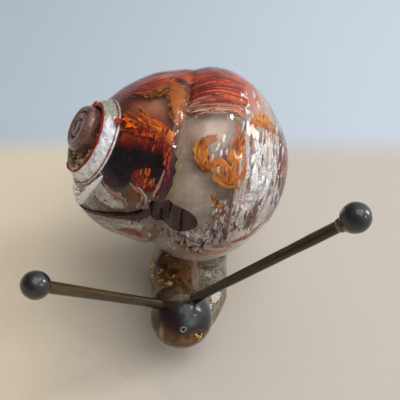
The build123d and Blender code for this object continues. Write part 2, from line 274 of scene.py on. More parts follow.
def skin(loops, start=None, end=None):
    """Closed skin over loops, with a point at each end or its ends joined to each other."""
    size = len(loops[0])
    count = len(loops)
    verts = [point for loop in loops for point in loop]
    faces = []
    for i in range(count if start is None else count - 1):
        n = (i + 1) % count
        for j in range(size):
            k = (j + 1) % size
            faces.append((i * size + j, i * size + k, n * size + k, n * size + j))
    if start is not None:
        verts += [start, end]
        pole = count * size
        base = pole - size
        faces.extend((pole, (j + 1) % size, j) for j in range(size))
        faces.extend((pole + 1, base + j, base + (j + 1) % size) for j in range(size))
    return verts, faces


def closed_tube(loops):
    """Skin over loops, closed by the middle of the first and the last."""
    return skin(loops, *[sum(loop, Vector()) / len(loop) for loop in (loops[0], loops[-1])])


def merge(parts):
    """Several skins as one."""
    verts = []
    faces = []
    for part_verts, part_faces in parts:
        shift = len(verts)
        verts.extend(part_verts)
        faces.extend(tuple(i + shift for i in face) for face in part_faces)
    return verts, faces


def add_object(name, data):
    """New object of the scene for a mesh, a lamp or a camera."""
    thing = bpy.data.objects.new(name, data)
    bpy.context.scene.collection.objects.link(thing)
    return thing


def make_piece(name, shape, material, nodes=(), paint=None):
    """A piece of the scene from a skin in millimetres."""
    verts, faces = shape
    mesh = bpy.data.meshes.new(name)
    mesh.from_pydata([v * MM for v in verts], [], faces)
    work = bmesh.new()
    work.from_mesh(mesh)
    bmesh.ops.recalc_face_normals(work, faces=work.faces)
    for face in work.faces:
        face.smooth = True
    work.to_mesh(mesh)
    work.free()
    if paint is not None:
        layer = mesh.color_attributes.new("paint", "FLOAT_COLOR", "POINT")
        for i, colour in enumerate(paint):
            layer.data[i].color = colour
    mesh.materials.append(material)
    piece = add_object(name, mesh)
    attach(piece, "root")
    if nodes:
        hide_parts(*nodes)


def circle(count):
    """Equal turns round a full circle."""
    return [TURN * j / count for j in range(count)]


def oval(centre, first, second, wide, high, count):
    """Loop round a centre, wide along the first direction and high along the second."""
    points = []
    for turn in circle(count):
        points.append(centre + first * (wide * cos(turn)) + second * (high * sin(turn)))
    return points


def stroke(points, depth, thickness, seed, ragged=0.25, steps=48, around=14):
    """Lens-section ribbon along (share, angle, half width) points in the glass."""
    rows = [spline(points, i / steps) for i in range(steps + 1)]
    line = [on_shell(share, angle, depth) for share, angle, _ in rows]
    loops = []
    for i in range(1, steps):
        share, angle, width = rows[i]
        along = (line[i + 1] - line[i - 1]).normalized()
        out = (line[i] - plain_point(share, angle, 0)).normalized()
        side = out.cross(along).normalized()
        place = i / steps
        thin = taper(place, 5)
        reaches = []
        for sign in (-1.0, 1.0):
            rough = noise(Vector((place * 9 + seed * 3.7, sign * 5.0, seed)))
            rough += 0.5 * noise(Vector((place * 26 + seed, sign * 3.0, 7.0)))
            reaches.append(width * thin * (1 + ragged * rough * 1.6))
        loop = []
        for turn in circle(around):
            reach = reaches[cos(turn) > 0]
            lift = thickness * thin * sin(turn) - 0.015 * reach * reach
            loop.append(line[i] + side * (reach * cos(turn)) + out * lift)
        loops.append(loop)
    return skin(loops, line[0], line[-1])


def wisp_rows(points, chance, thin):
    """Five places along one fibre of a bundle, off to one side of its middle line."""
    first = chance.uniform(-0.05, 0.60)
    last = min(first + chance.uniform(0.25, 0.80), 1.0)
    first = max(first, 0.0)
    offset = chance.uniform(-1, 1)
    size = thin * chance.uniform(0.5, 1.4)
    rows = []
    for i in range(5):
        place = first + (last - first) * i / 4
        share, angle, width = spline(points, place)
        ahead = -0.02 if place > 0.98 else 0.02
        next_share, next_angle, _ = spline(points, min(place + ahead, 1.0))
        if ahead < 0:
            next_share, next_angle = 2 * share - next_share, 2 * angle - next_angle
        scale = radians(max(radius_at(share), 1.0))
        run = (next_share - share) * SHELL_LENGTH
        rise = (next_angle - angle) * scale
        away = offset * width + chance.gauss(0, 0.06)
        away /= hypot(run, rise) or 1.0
        rows.append((share - away * rise / SHELL_LENGTH, angle + away * run / scale, size))
    return rows


def wisps(points, depth, count, seed, palette, thin):
    """Bundle of fine fibres of glass and the colour of each of their points."""
    chance = random.Random(seed)
    bundle = []
    paint = []
    for i in range(count):
        rows = wisp_rows(points, chance, thin)
        level = depth + chance.uniform(-0.25, 0.35)
        fibre = stroke(rows, level, 0.07, seed + i * 0.37, 0.7, 22, 8)
        first = chance.choice(palette)
        second = chance.choice(palette)
        colour = mix(first, second, chance.random())
        shade = chance.uniform(0.75, 1.15)
        bundle.append(fibre)
        paint += [(*[value * shade for value in colour[:3]], 1.0)] * len(fibre[0])
    return bundle, paint


def fibres(lines, depth, count, seed, palette, thin):
    """A bundle of wisps along each of several lines."""
    return [wisps(line, depth, count, seed + i, palette, thin) for i, line in enumerate(lines)]


def ribbons(points, depth, count, seed, palette, wide):
    """Overlapping ragged stains along one line and the colour of each of their points."""
    chance = random.Random(seed)
    bundle = []
    paint = []
    for i in range(count):
        shift = (chance.gauss(0, 0.006), chance.gauss(0, 1.3))
        rows = []
        for share, angle, width in points:
            size = width * wide * chance.uniform(0.7, 1.2)
            rows.append((share + shift[0], angle + shift[1], size))
        ribbon = stroke(rows, depth + 0.10 * i, 0.06, seed + i * 1.7, 0.75, 60, 14)
        first = palette[i % len(palette)]
        second = palette[(i + 1) % len(palette)]
        bundle.append(ribbon)
        for vert in ribbon[0]:
            paint.append(mix(first, second, within(0.0, 1.0, 0.5 + 1.1 * noise(vert * 0.9))))
    return bundle, paint


def patch(centre, outline, depth, thickness, seed, ragged=0.10):
    """Torn sheet that fills a closed (share, angle) outline, and its vertices' places."""
    around = 96
    rings = 12
    edge = []
    for j, turn in enumerate(circle(around)):
        wheel = Vector((cos(turn) * 2.2, sin(turn) * 2.2, seed * 1.9))
        rough = noise(wheel) + 0.6 * noise(wheel * 3.1)
        rough += 0.4 * noise(wheel * 7.7)
        edge.append(mix(centre, spline(outline, j / around, closed=True), 1 + ragged * rough))
    keys = []
    loops = []
    for i in range(1, 2 * rings):
        part = sin(0.5 * pi * min(i, 2 * rings - i) / rings)
        swell = thickness * sqrt(max(1 - part ** 4, 0.0))
        level = depth - swell if i <= rings else depth + swell
        row = [mix(centre, where, part) for where in edge]
        keys += row
        loops.append([on_shell(*key, level) for key in row])
    ends = [on_shell(*centre, depth + side * thickness) for side in (-1, 1)]
    return skin(loops, *ends), keys + [centre, centre]


def torn_leaf(point, out, rings, count, place, half):
    """Thin closed sheet round a point; place gives the points of each ring."""
    top = []
    low = []
    for ring in rings:
        spots = [place(ring, j) for j in range(count)]
        lift = out * (half * (1.05 - ring))
        top.append([spot + lift for spot in spots])
        low.append([spot - lift for spot in spots])
    return skin(top + low[::-1], point + out * half, point - out * half)


def flake(point, out, size, seed, flat=0.10):
    """Small torn leaf with a crumpled face, square to a direction."""
    chance = random.Random(seed)
    tangent = out.orthogonal().normalized()
    other = out.cross(tangent)
    spin = chance.uniform(0, TURN)
    stretch = chance.uniform(0.45, 1.0)
    corners = [chance.uniform(0.55, 1.0) for _ in range(9)]

    def place(ring, j):
        x = cos(TURN * j / 9) * corners[j] * ring * size
        y = sin(TURN * j / 9) * corners[j] * ring * size * stretch
        spot = point + tangent * (x * cos(spin) - y * sin(spin))
        spot = spot + other * (x * sin(spin) + y * cos(spin))
        return spot + out * (chance.uniform(-0.22, 0.22) * size * ring)

    return torn_leaf(point, out, (0.35, 0.7, 1.0), 9, place, flat * size)


def shard(point, along, out, length, width, seed):
    """Long torn splinter of leaf that lies in the glass."""
    chance = random.Random(seed)
    across = out.cross(along).normalized()
    corners = [chance.uniform(0.6, 1.0) for _ in range(12)]

    def place(ring, j):
        x = cos(TURN * j / 12) * corners[j] * ring * length
        y = sin(TURN * j / 12) * corners[-j] * ring * width
        y += 0.25 * width * sin(x / length * 3 + seed * 6)
        crease = chance.uniform(-0.30, 0.30) * width * ring - 0.02 * x * x
        return point + along * x + across * y + out * crease

    return torn_leaf(point, out, (0.4, 0.75, 1.0), 12, place, 0.05)


def shards(spots, seed, spread_share=0.024, spread_angle=5.0, depths=(0.35, 1.6)):
    """Splinters round (share, angle, length, count) spots, mostly along the whorl."""
    chance = random.Random(seed)
    found = []
    for share, angle, length, count in spots:
        for _ in range(count):
            a = max(share + chance.gauss(0, spread_share), 0.035)
            b = angle + chance.gauss(0, spread_angle)
            depth = chance.uniform(*depths)
            here = on_shell(a, b, depth)
            ahead = on_shell(a + chance.gauss(0, 0.003), b + 2.0, depth)
            along = (ahead - here).normalized()
            out = (here - plain_point(a, b, 0)).normalized()
            lean = along * chance.gauss(0, 0.18) + out.cross(along) * chance.gauss(0, 0.30)
            face = (out + lean).normalized()
            along = (along - face * along.dot(face)).normalized()
            size = length * chance.uniform(0.45, 1.1)
            width = size * chance.uniform(0.16, 0.42)
            found.append(shard(here, along, face, size, width, chance.random()))
    return found


def one_tone(shape, colour):
    """A shape, and the same colour for each of its points."""
    return [shape], [colour] * len(shape[0])


def tinted_shards(spots, seed, spread, palettes, stride, depths=(0.35, 1.6)):
    """Splinters round each spot, each in a tone of its own."""
    sets = []
    for i, spot in enumerate(spots):
        for k, bit in enumerate(shards((spot,), seed + i, *spread, depths)):
            palette = palettes[(i + k) % len(palettes)]
            sets.append(one_tone(bit, palette[(i + stride * k) % len(palette)]))
    return sets


def lumpy_ball(centre, size, amount, scale, seed, rows=40, around=64, tilt=Z_AXIS):
    """Round bead whose surface has slow hand-made lumps, never beyond its size."""
    spin = Z_AXIS.rotation_difference(tilt.normalized())
    loops = []
    for i in range(rows + 1):
        polar = pi * i / rows
        loop = []
        for turn in circle(1 if i in (0, rows) else around):
            flat = sin(polar)
            unit = Vector((flat * cos(turn), flat * sin(turn), cos(polar)))
            dent = amount * half_noise(unit * scale + Vector((seed, 0, seed)))
            offset = Vector((unit.x * size[0], unit.y * size[1], unit.z * size[2]))
            loop.append(centre + spin @ (offset * (1 - dent)))
        loops.append(loop)
    return skin(loops[1:-1], loops[0][0], loops[-1][0])


# Materials


def new_tree(name):
    """Empty node material with its tree."""
    material = bpy.data.materials.new(name)
    material.use_nodes = True
    material.node_tree.nodes.clear()
    return material, material.node_tree


def put(tree, kind, inputs=None, **settings):
    """New shader node with its settings, values and links."""
    node = tree.nodes.new("ShaderNode" + kind)
    for key, value in settings.items():
        setattr(node, key, value)
    for key, value in (inputs or {}).items():
        if isinstance(value, bpy.types.NodeSocket):
            tree.links.new(value, node.inputs[key])
        else:
            node.inputs[key].default_value = value
    return node


def grain(tree, scale, detail=4.0, rough=0.55, stretch=(1, 1, 1), twist=0.0, shift=(0, 0, 0)):
    """Noise in the object's own space; scale is in features per millimetre."""
    place = put(tree, "TexCoord").outputs["Object"]
    size = tuple(scale * 1000 * s for s in stretch)
    move = put(tree, "Mapping", {"Vector": place, "Scale": size, "Location": shift})
    values = {"Vector": move.outputs[0], "Scale": 1.0, "Detail": detail, "Roughness": rough}
    values["Distortion"] = twist
    return put(tree, "TexNoise", values).outputs["Fac"]


def ramp(tree, fac, rows, display=False):
    """Colours against a value, from (place, red, green, blue) rows."""
    node = put(tree, "ValToRGB", {"Fac": fac})
    scale = node.color_ramp
    while len(scale.elements) < len(rows):
        scale.elements.new(0.5)
    for element, (place, *rgb) in zip(scale.elements, rows):
        element.position = place
        element.color = srgb(*rgb) if display else (*rgb, 1.0)
    return node.outputs["Color"]


def blend(tree, fac, first, second, mode="MIX"):
    """Mix of two colours."""
    node = put(tree, "Mix", {0: fac, 6: first, 7: second}, data_type="RGBA", blend_type=mode)
    return node.outputs[2]


def dapple(tree, part, colour, fac, *rows):
    """A colour made darker and lighter along a value."""
    return blend(tree, part, colour, ramp(tree, fac, rows), "MULTIPLY")


def spread(tree, fac, low, high, to_low=0.0, to_high=1.0):
    """Stretch a value from one range to another."""
    values = {"Value": fac, "From Min": low, "From Max": high, "To Min": to_low}
    values["To Max"] = to_high
    return put(tree, "MapRange", values).outputs[0]


def uneven(tree, fac, low, high):
    """Roughness that follows the middle part of a noise."""
    return spread(tree, fac, 0.3, 0.7, low, high)


def bump(tree, height, strength, distance, **under):
    """Surface relief; distance is in millimetres, under an earlier relief as Normal."""
    values = {"Height": height, "Strength": strength, "Distance": distance * MM, **under}
    return put(tree, "Bump", values).outputs[0]


def painted_base(tree):
    """The colours painted on the points."""
    return put(tree, "Attribute", attribute_name="paint").outputs["Color"]


def dress(material, values, shadow=None):
    """Connect the shader; glass lets lamps through by a clear shadow path."""
    tree = material.node_tree
    shader = put(tree, "BsdfPrincipled", values).outputs[0]
    if shadow:
        path = put(tree, "LightPath").outputs["Is Shadow Ray"]
        clear = put(tree, "BsdfTransparent", {"Color": shadow}).outputs[0]
        shader = put(tree, "MixShader", {0: path, 1: shader, 2: clear}).outputs[0]
    put(tree, "OutputMaterial", {"Surface": shader})
    return material


def clear_glass():
    """Clear hot-worked glass with slow waves and fine seeds."""
    material, tree = new_tree("clear_casing_glass")
    tint = grain(tree, 0.16, 3.0)
    slow = grain(tree, 0.35, 2.0, 0.4, shift=(3, 1, 7))
    seeds = grain(tree, 2.2, 5.0, 0.6, shift=(1, 8, 2))
    values = {
        "Base Color": ramp(tree, tint, ((0.35, 252, 251, 248), (0.70, 244, 238, 228)), True),
        "Roughness": spread(tree, seeds, 0.35, 0.75, 0.01, 0.06),
        "IOR": 1.46,
        "Specular IOR Level": 0.24,
        "Transmission Weight": 1.0,
        "Normal": bump(tree, seeds, 0.05, 0.10, Normal=bump(tree, slow, 0.25, 0.30)),
    }
    return dress(material, values, (0.93, 0.90, 0.88, 1))


def pigment(
    name, stops, scale=0.5, stretch=(1, 1, 1), rough=0.3, relief=0.3, soft=0.0, coat=0.0, gloss=0.15
):
    """Coloured glass with streaks of several tones."""
    material, tree = new_tree(name)
    broad = grain(tree, scale, 5.0, 0.62, stretch, 1.2)
    fine = grain(tree, scale * 5, 4.0, 0.6, stretch, 0.5, (4, 2, 9))
    both = blend(tree, 0.3, broad, fine)
    values = {
        "Base Color": ramp(tree, both, stops, True),
        "Roughness": uneven(tree, fine, rough * 0.6, rough * 1.3),
        "IOR": 1.48,
        "Specular IOR Level": gloss,
        "Subsurface Weight": soft,
        "Subsurface Radius": (0.0016, 0.0008, 0.0005),
        "Subsurface Scale": 1.0,
        "Coat Weight": coat,
        "Coat Roughness": 0.06,
        "Normal": bump(tree, both, relief, 0.2),
    }
    return dress(material, values)


def painted(name, scale, depth=0.5, rough=0.3, coat=0.0, gloss=0.3, relief=0.3):
    """Glass whose zones of colour are painted on its points, with finer clouds over them."""
    material, tree = new_tree(name)
    broad = grain(tree, scale, 5.0, 0.62, twist=1.0)
    fine = grain(tree, scale * 4, 4.0, 0.6, twist=0.5, shift=(4, 2, 9))
    dark, light = (0.3, 0.55, 0.52, 0.50), (0.7, 1.35, 1.32, 1.30)
    colour = dapple(tree, depth, painted_base(tree), broad, dark, light)
    dark, light = (0.3, 0.72, 0.70, 0.68), (0.7, 1.22, 1.20, 1.20)
    values = {
        "Base Color": dapple(tree, depth, colour, fine, dark, light),
        "Roughness": uneven(tree, fine, rough * 0.6, rough * 1.3),
        "IOR": 1.48,
        "Specular IOR Level": gloss,
        "Coat Weight": coat,
        "Coat Roughness": 0.04,
        "Normal": bump(tree, broad, relief, 0.3),
    }
    return dress(material, values)


def leaf(name, stops, metal):
    """Crumpled metal leaf under glass."""
    material, tree = new_tree(name)
    folds = grain(tree, 1.0, 6.0, 0.65, twist=1.5)
    fine = grain(tree, 4.0, 5.0, 0.65, shift=(2, 5, 1))
    both = blend(tree, 0.35, folds, fine)
    values = {
        "Base Color": ramp(tree, both, stops, True),
        "Metallic": metal,
        "Roughness": uneven(tree, fine, 0.11, 0.374),
        "Normal": bump(tree, both, 0.9, 0.30),
    }
    return dress(material, values)


def core_glass():
    """Milky opal painted with slow zones of colour and fine streaks."""
    material, tree = new_tree("opal_core_glass")
    cloud = grain(tree, 0.30, 3.0, 0.55, (1, 1.3, 1.3), 0.8)
    fibre = grain(tree, 0.9, 4.0, 0.6, (0.35, 1.8, 1.8), 0.6, (5, 3, 1))
    dark, light = (0.3, 0.62, 0.58, 0.56), (0.7, 1.16, 1.12, 1.10)
    colour = dapple(tree, 0.75, painted_base(tree), cloud, dark, light)
    dark, light = (0.35, 0.80, 0.74, 0.70), (0.6, 1.05, 1.04, 1.03)
    values = {
        "Base Color": dapple(tree, 0.35, colour, fibre, dark, light),
        "Roughness": uneven(tree, cloud, 0.25, 0.5),
        "IOR": 1.3,
        "Subsurface Weight": 0.25,
        "Subsurface Radius": (0.0018, 0.0012, 0.0009),
        "Subsurface Scale": 1.0,
        "Normal": bump(tree, cloud, 0.3, 0.4),
    }
    return dress(material, values)


def collar_glass():
    """Crackled silver under glass, over the collar's painted zones."""
    material, tree = new_tree("silver_collar")
    folds = grain(tree, 0.9, 6.0, 0.65, twist=1.5)
    dark, light = (0.36, 0.42, 0.38, 0.36), (0.52, 1.1, 1.1, 1.1)
    values = {
        "Base Color": dapple(tree, 0.8, painted_base(tree), folds, dark, light),
        "Metallic": 0.2,
        "Roughness": uneven(tree, folds, 0.12, 0.42),
        "Coat Weight": 0.7,
        "Normal": bump(tree, folds, 0.7, 0.35),
    }
    return dress(material, values)


def crackled_glass():
    """Smoky clear glass full of fine cracks and amber clouds."""
    material, tree = new_tree("smoky_crackle_glass")
    place = put(tree, "TexCoord").outputs["Object"]
    cells = {"Vector": place, "Scale": 760.0, "Randomness": 1.0}
    cells = put(tree, "TexVoronoi", cells, feature="DISTANCE_TO_EDGE")
    cracks = spread(tree, cells.outputs["Distance"], 0.0, 0.09, 0.30, 1.0)
    cloud = grain(tree, 0.45, 5.0, 0.6, (1, 0.5, 1), 1.0)
    fine = grain(tree, 2.4, 5.0, 0.65)
    stops = (
        (0.30, 44, 36, 18), (0.42, 90, 78, 48), (0.54, 132, 124, 100),
        (0.61, 150, 100, 42), (0.72, 58, 42, 18),
    )
    height = put(tree, "Math", {0: cracks, 1: fine}, operation="ADD").outputs[0]
    values = {
        "Base Color": blend(tree, cracks, srgb(206, 198, 178), ramp(tree, cloud, stops, True)),
        "Roughness": uneven(tree, fine, 0.04, 0.20),
        "IOR": 1.46,
        "Transmission Weight": 0.55,
        "Coat Weight": 0.5,
        "Normal": bump(tree, height, 0.6, 0.25),
    }
    return dress(material, values, (0.62, 0.58, 0.50, 1))


BURGUNDY = pigment(
    "burgundy_glass",
    ((0.30, 8, 1, 2), (0.46, 24, 2, 5), (0.58, 70, 7, 11), (0.66, 34, 4, 8), (0.76, 104, 22, 22)),
    0.8,
    rough=0.16,
    relief=0.5,
    gloss=0.05,
)
ORANGE = pigment(
    "orange_glass",
    (
        (0.30, 120, 40, 16), (0.44, 176, 70, 22), (0.56, 206, 104, 36),
        (0.66, 214, 130, 60), (0.80, 226, 176, 120),
    ),
    0.8,
    soft=0.2,
)
RED = pigment(
    "red_glass", ((0.3, 84, 14, 12), (0.5, 140, 32, 20), (0.7, 186, 70, 40)), 0.8, soft=0.1
)
SILVER = leaf(
    "silver_leaf",
    ((0.32, 112, 82, 68), (0.40, 206, 194, 190), (0.48, 248, 248, 250), (0.80, 252, 252, 252)),
    0.25,
)
GOLD = leaf("gold_leaf", ((0.34, 110, 66, 22), (0.5, 232, 172, 84), (0.66, 255, 232, 170)), 0.4)
FIBRES = painted("fibre_glass", 1.2, 0.6, gloss=0.15)

FLAME = tones((206, 82, 14), (226, 104, 20), (170, 46, 10), (232, 140, 44))
FIRE_RED = tones((166, 40, 12), (128, 26, 10), (196, 74, 24))
HONEY = tones((186, 98, 14), (206, 126, 26), (216, 152, 62), (138, 64, 8))
DEEP_HONEY = tones((156, 82, 16), (176, 100, 28), (122, 58, 12), (188, 122, 52))
ROSY = tones((206, 152, 130), (196, 110, 76), (222, 190, 174))
SNOW = tones(
    (246, 246, 246), (222, 214, 210), (236, 232, 238), (150, 110, 92), (96, 62, 50), (202, 172, 156)
)
EMBER = tones((202, 68, 8), (186, 48, 6), (210, 104, 30), (138, 32, 8))
GREYS = tones((52, 44, 38), (150, 146, 140))
WINDOW_TONES = tones((226, 84, 18), (190, 50, 14), (236, 130, 50), (110, 22, 10))
LOW_TONES = tones(
    (190, 96, 52), (214, 170, 152), (120, 58, 38), (236, 228, 224), (176, 78, 36), (198, 146, 124)
)
BOTTOM_TONES = tones(
    (206, 196, 204), (112, 82, 84), (238, 234, 238), (160, 136, 140), (172, 104, 70),
    (222, 206, 196), (86, 56, 50),
)

BEIGE = srgb(166, 150, 128)
PINKISH = srgb(160, 131, 112)
PALE = srgb(206, 196, 186)
YELLOW_GREEN = srgb(164, 146, 74)
ORANGE_PAINT = srgb(194, 72, 14)
RED_PAINT = srgb(140, 38, 18)
AMBER_PAINT = srgb(156, 90, 34)
BROWN_PAINT = srgb(98, 54, 32)
DARK_PAINT = srgb(40, 16, 14)
GREY_PAINT = srgb(138, 122, 112)
LIGHT_PAINT = srgb(214, 150, 116)
CREAM_AND_FILL_LIGHT_PAINT = srgb(240, 236, 226)
WHITE_PAINT = srgb(244, 243, 242)


# Shell

CASING_AROUND = 192
CORE_AROUND = 288
CORE_ROWS = 170


def build_casing():
    """Thick clear glass with the groove, and a rounded lip round the tip."""
    loops = []
    for share in [DENSE[i][0] for i in range(5, 560, 5)] + [1.0]:
        angles = [360 * j / CASING_AROUND for j in range(CASING_AROUND)]
        loops.append([on_shell(share, angle, 0.0) for angle in angles])
    centre, side, up, direction = axis_frame(1.0)
    for radius, lift in ((5.9, 0.02), (5.0, 0.01), (2.5, 0.01)):
        loops.append(oval(centre + direction * lift, side, up, radius, radius, CASING_AROUND))
    shape = skin(loops, plain_point(0.0, 0, 0), centre + direction * 0.01)
    make_piece("shell_glass", shape, clear_glass(), ["shell_casing"])


def core_colour(share, angle, point):
    """Slow zones of colour on the opal core; its paler lower zones are partly the opal's own colour
    and partly painted fill light for the shaded underside.
    """
    angle = angle - 360 if angle > 180 else angle
    warp = noise(point * 0.22)
    ruffle = noise(point * 0.8 + Vector((3, 7, 1)))
    share += 0.02 * ruffle
    angle += 7 * warp + 3 * ruffle
    fibre = noise(Vector((share * 60, angle * 0.03, 2.0)))

    def spot(*place):
        return near(share, angle, *place)

    front = 1 - step(-120, -160, angle)
    edge = 118 + 26 * ruffle + 22 * sin(share * 11)
    behind = 1 - step(edge, edge + 22, angle)
    lines = 0.5 + 0.5 * sin(radians(angle + 6 * ruffle) * 52 + share * 9)
    zone = step(-3, 20, angle) * (1 - step(34, 46, angle))
    zone *= step(0.29, 0.36, share) * (1 - step(0.54, 0.60, share))
    red = spot(0.56, 46, 0.10, 22) + 0.7 * spot(0.45, 44, 0.14, 12)
    colour = layered(
        BEIGE,
        (PINKISH, 0.5 + 0.6 * warp),
        (PALE, 0.55 * step(-6, -34, angle) * front),
        (PALE, 0.4 * max(fibre, 0.0)),
        (GREY_PAINT, 0.3 * max(-fibre, 0.0)),
        (PALE, 0.5 * (1 - step(0.24, 0.40, share))),
        # Paler lower front: partly the opal's own colour, partly painted fill light for the underside
        # that the lamps leave in shade.
        (PALE, 0.5 * step(-52, -95, angle) * front),
        (PALE, 0.6 * spot(0.42, -2, 0.10, 8)),
        (ORANGE_PAINT, 0.85 * step(16, 36, angle) * step(0.24, 0.36, share) * behind),
        (RED_PAINT, min(0.85 * red, 0.9)),
        (RED_PAINT, 0.8 * zone * lines ** 3),
    )
    if share > 0.60:
        whorl = step(0.60, 0.63, share)
        glow = mix(ORANGE_PAINT, AMBER_PAINT, within(0.0, 1.0, 0.5 + ruffle + 0.8 * fibre))
        colour = layered(
            colour,
            (glow, 0.9 * whorl * step(-16, 2, angle) * behind),
            (mix(LIGHT_PAINT, BEIGE, 0.5 + ruffle), 0.85 * spot(0.77, 15, 0.14, 12)),
            (AMBER_PAINT, min(spot(0.640, 10, 0.026, 24), 0.95)),
            (RED_PAINT, 0.8 * spot(0.80, -8, 0.16, 9)),
            # Paler lower part of the small whorl: partly its own pale pink, partly painted fill light
            # for the shaded underside.
            (mix(PALE, PINKISH, 0.3 + ruffle), 0.9 * whorl * step(-48, -66, angle) * front),
            (DARK_PAINT, min(1.2 * spot(0.85, -33, 0.18, 19), 0.97)),
            (DARK_PAINT, 0.8 * spot(0.985, 6, 0.016, 24)),
        )
    olive = spot(0.585, -27, 0.030, 9) + spot(0.575, -46, 0.040, 9)
    low = spot(0.26, -62, 0.06, 14) + spot(0.30, -20, 0.03, 6)
    white = spot(0.20, -30, 0.085, 22) + spot(0.30, -16, 0.035, 8)
    white *= 0.55 + 1.2 * noise(point * 0.9 + Vector((1, 9, 4)))
    return layered(
        colour,
        (YELLOW_GREEN, within(0.0, 0.9, olive * (0.75 + 0.8 * ruffle))),
        # Cream spot low on the small whorl: partly its own colour, partly painted fill light where the
        # lamps leave it in shade.
        (CREAM_AND_FILL_LIGHT_PAINT, 0.7 * spot(0.84, -112, 0.14, 16)),
        (ORANGE_PAINT, 0.8 * spot(0.78, -98, 0.10, 9)),
        (BROWN_PAINT, min(0.6 * low, 0.8)),
        (WHITE_PAINT, within(0.0, 0.95, white)),
    )


def build_core():
    """Opal core with its painted zones."""
    loops = []
    paint = []
    first, last = CORE_PROFILE[0][0], CORE_PROFILE[-1][0]
    angles = [360 * j / CORE_AROUND for j in range(CORE_AROUND)]
    for i in range(1, CORE_ROWS + 1):
        share = first + (last - first) * (i / CORE_ROWS) ** 1.5
        radius = (radius_at(share) - WALL) * table(CORE_PROFILE, share)
        loop = [plain_point(share, angle, radius) for angle in angles]
        paint += [core_colour(share, angle, point) for angle, point in zip(angles, loop)]
        loops.append(loop)
    ends = [plain_point(share, 0, 0) for share in (first, last)]
    paint += [core_colour(share, 0, point) for share, point in zip((first, last), ends)]
    shape = skin(loops, *ends)
    make_piece("opal_core_body", shape, core_glass(), ["opal_core"], paint)


# Outlines and lines of colour: (share of the length, angle) and half widths in millimetres.
# Spots: share, angle, length in millimetres and count
BURGUNDY_BODY = (
    (0.985, -8), (0.93, -12), (0.844, -15), (0.74, -18), (0.64, -17), (0.624, -25), (0.632, -36),
    (0.66, -44), (0.72, -38), (0.8, -35), (0.86, -40), (0.868, -52), (0.886, -60), (0.935, -65),
    (0.972, -66), (0.988, -56), (0.99, -36),
)
BURGUNDY_SIDE = ((0.64, -20, 0.8), (0.632, -32, 0.9), (0.64, -44, 0.8), (0.662, -52, 0.5))
WINDOW = (
    (0.872, -42), (0.82, -36), (0.73, -34), (0.7, -40), (0.716, -47), (0.79, -50), (0.86, -49),
)
WINDOW_SPOTS = (
    (0.84, -43, 0.55, 5), (0.8, -40, 0.6, 6), (0.76, -42, 0.6, 6), (0.725, -41, 0.5, 4),
    (0.78, -47, 0.5, 5),
)
LOW_SPOTS = (
    (0.79, -57, 0.6, 9), (0.76, -60, 0.6, 8), (0.83, -62, 0.7, 8), (0.88, -70, 0.8, 8),
    (0.74, -66, 0.6, 7), (0.7, -58, 0.5, 6), (0.92, -78, 0.8, 8), (0.82, -72, 0.7, 7),
)
BOTTOM_SPOTS = (
    (0.59, -73, 0.9, 9), (0.52, -75, 1.1, 11), (0.45, -74, 1.1, 12), (0.39, -71, 1.1, 12),
    (0.34, -67, 1.0, 12), (0.3, -74, 1.1, 12), (0.4, -80, 1.1, 10), (0.36, -50, 0.7, 9),
    (0.316, -55, 0.8, 12), (0.352, -61, 0.8, 10), (0.27, -60, 0.9, 10), (0.236, -54, 0.8, 8),
)
UNDER_SPOTS = ((0.744, -82, 0.7, 9), (0.69, -84, 0.7, 9), (0.82, -93, 0.6, 7), (0.7, -98, 0.6, 7))
PADDLE = (
    (0.704, -54), (0.62, -52), (0.54, -51.5), (0.48, -53), (0.447, -57), (0.446, -61),
    (0.48, -66), (0.524, -69), (0.58, -70), (0.636, -68), (0.68, -64), (0.706, -59),
)
TRAIL = (
    (0.69, -60, 0.8), (0.74, -67, 0.84), (0.83, -80, 0.8), (0.9, -97, 0.74), (0.94, -118, 0.62),
    (0.962, -138, 0.36),
)
FLAMES = (
    (0.99, 22, 1.2), (0.965, 10, 1.7), (0.915, 0, 1.5), (0.85, -5, 1.2), (0.74, -10, 1.0),
    (0.64, -13, 0.8),
)
FLAME_SPOTS = (
    (0.955, -1, 0.9, 9), (0.905, -6, 0.9, 10), (0.85, -10, 0.9, 10), (0.79, -12, 0.9, 10),
    (0.73, -15, 0.85, 10), (0.67, -18, 0.8, 9), (0.645, -26, 0.7, 7), (0.636, -36, 0.6, 6),
    (0.648, -46, 0.5, 4),
)
RING = (
    (0.428, -8, 0.45), (0.48, -12, 0.6), (0.492, -18, 0.75), (0.464, -24, 0.8), (0.405, -24, 0.9),
    (0.35, -29, 1.15), (0.318, -24, 1.15), (0.328, -17, 0.95), (0.324, -9, 1.1), (0.3, -2, 0.9),
)
RING_TOP = ((0.29, 2, 0.5), (0.262, 9, 0.7), (0.225, 14, 0.9), (0.188, 16, 0.9), (0.168, 9, 0.6))
ORANGE_SPOTS = (
    (0.398, -42, 0.45), (0.372, -47, 0.6), (0.35, -44, 0.4), (0.322, -56, 0.35), (0.35, -62, 0.4),
    (0.205, 3, 0.45),
)
AMBER_EDGE = ((0.71, 28, 0.8), (0.66, 18, 1.3), (0.64, 7, 1.1), (0.63, -4, 0.5))
PINK_BANDS = ((0.6, 9, 0.7), (0.52, 11, 1.2), (0.42, 13, 1.2), (0.32, 15, 0.8))
CREST_LOW = ((0.94, 44, 1.2), (0.88, 34, 2.0), (0.8, 30, 2.3), (0.72, 30, 2.0), (0.65, 24, 1.2))
CREST = ((0.97, 66, 0.9), (0.93, 54, 1.4), (0.87, 46, 1.6), (0.79, 42, 1.6), (0.69, 42, 1.2))
TOP_DARK = ((0.57, 64, 0.4), (0.51, 58, 0.6), (0.45, 50, 0.7), (0.39, 42, 0.4))
UNDER = ((0.86, -93, 0.4), (0.805, -97, 0.9), (0.74, -92, 1.0), (0.675, -92, 0.6))
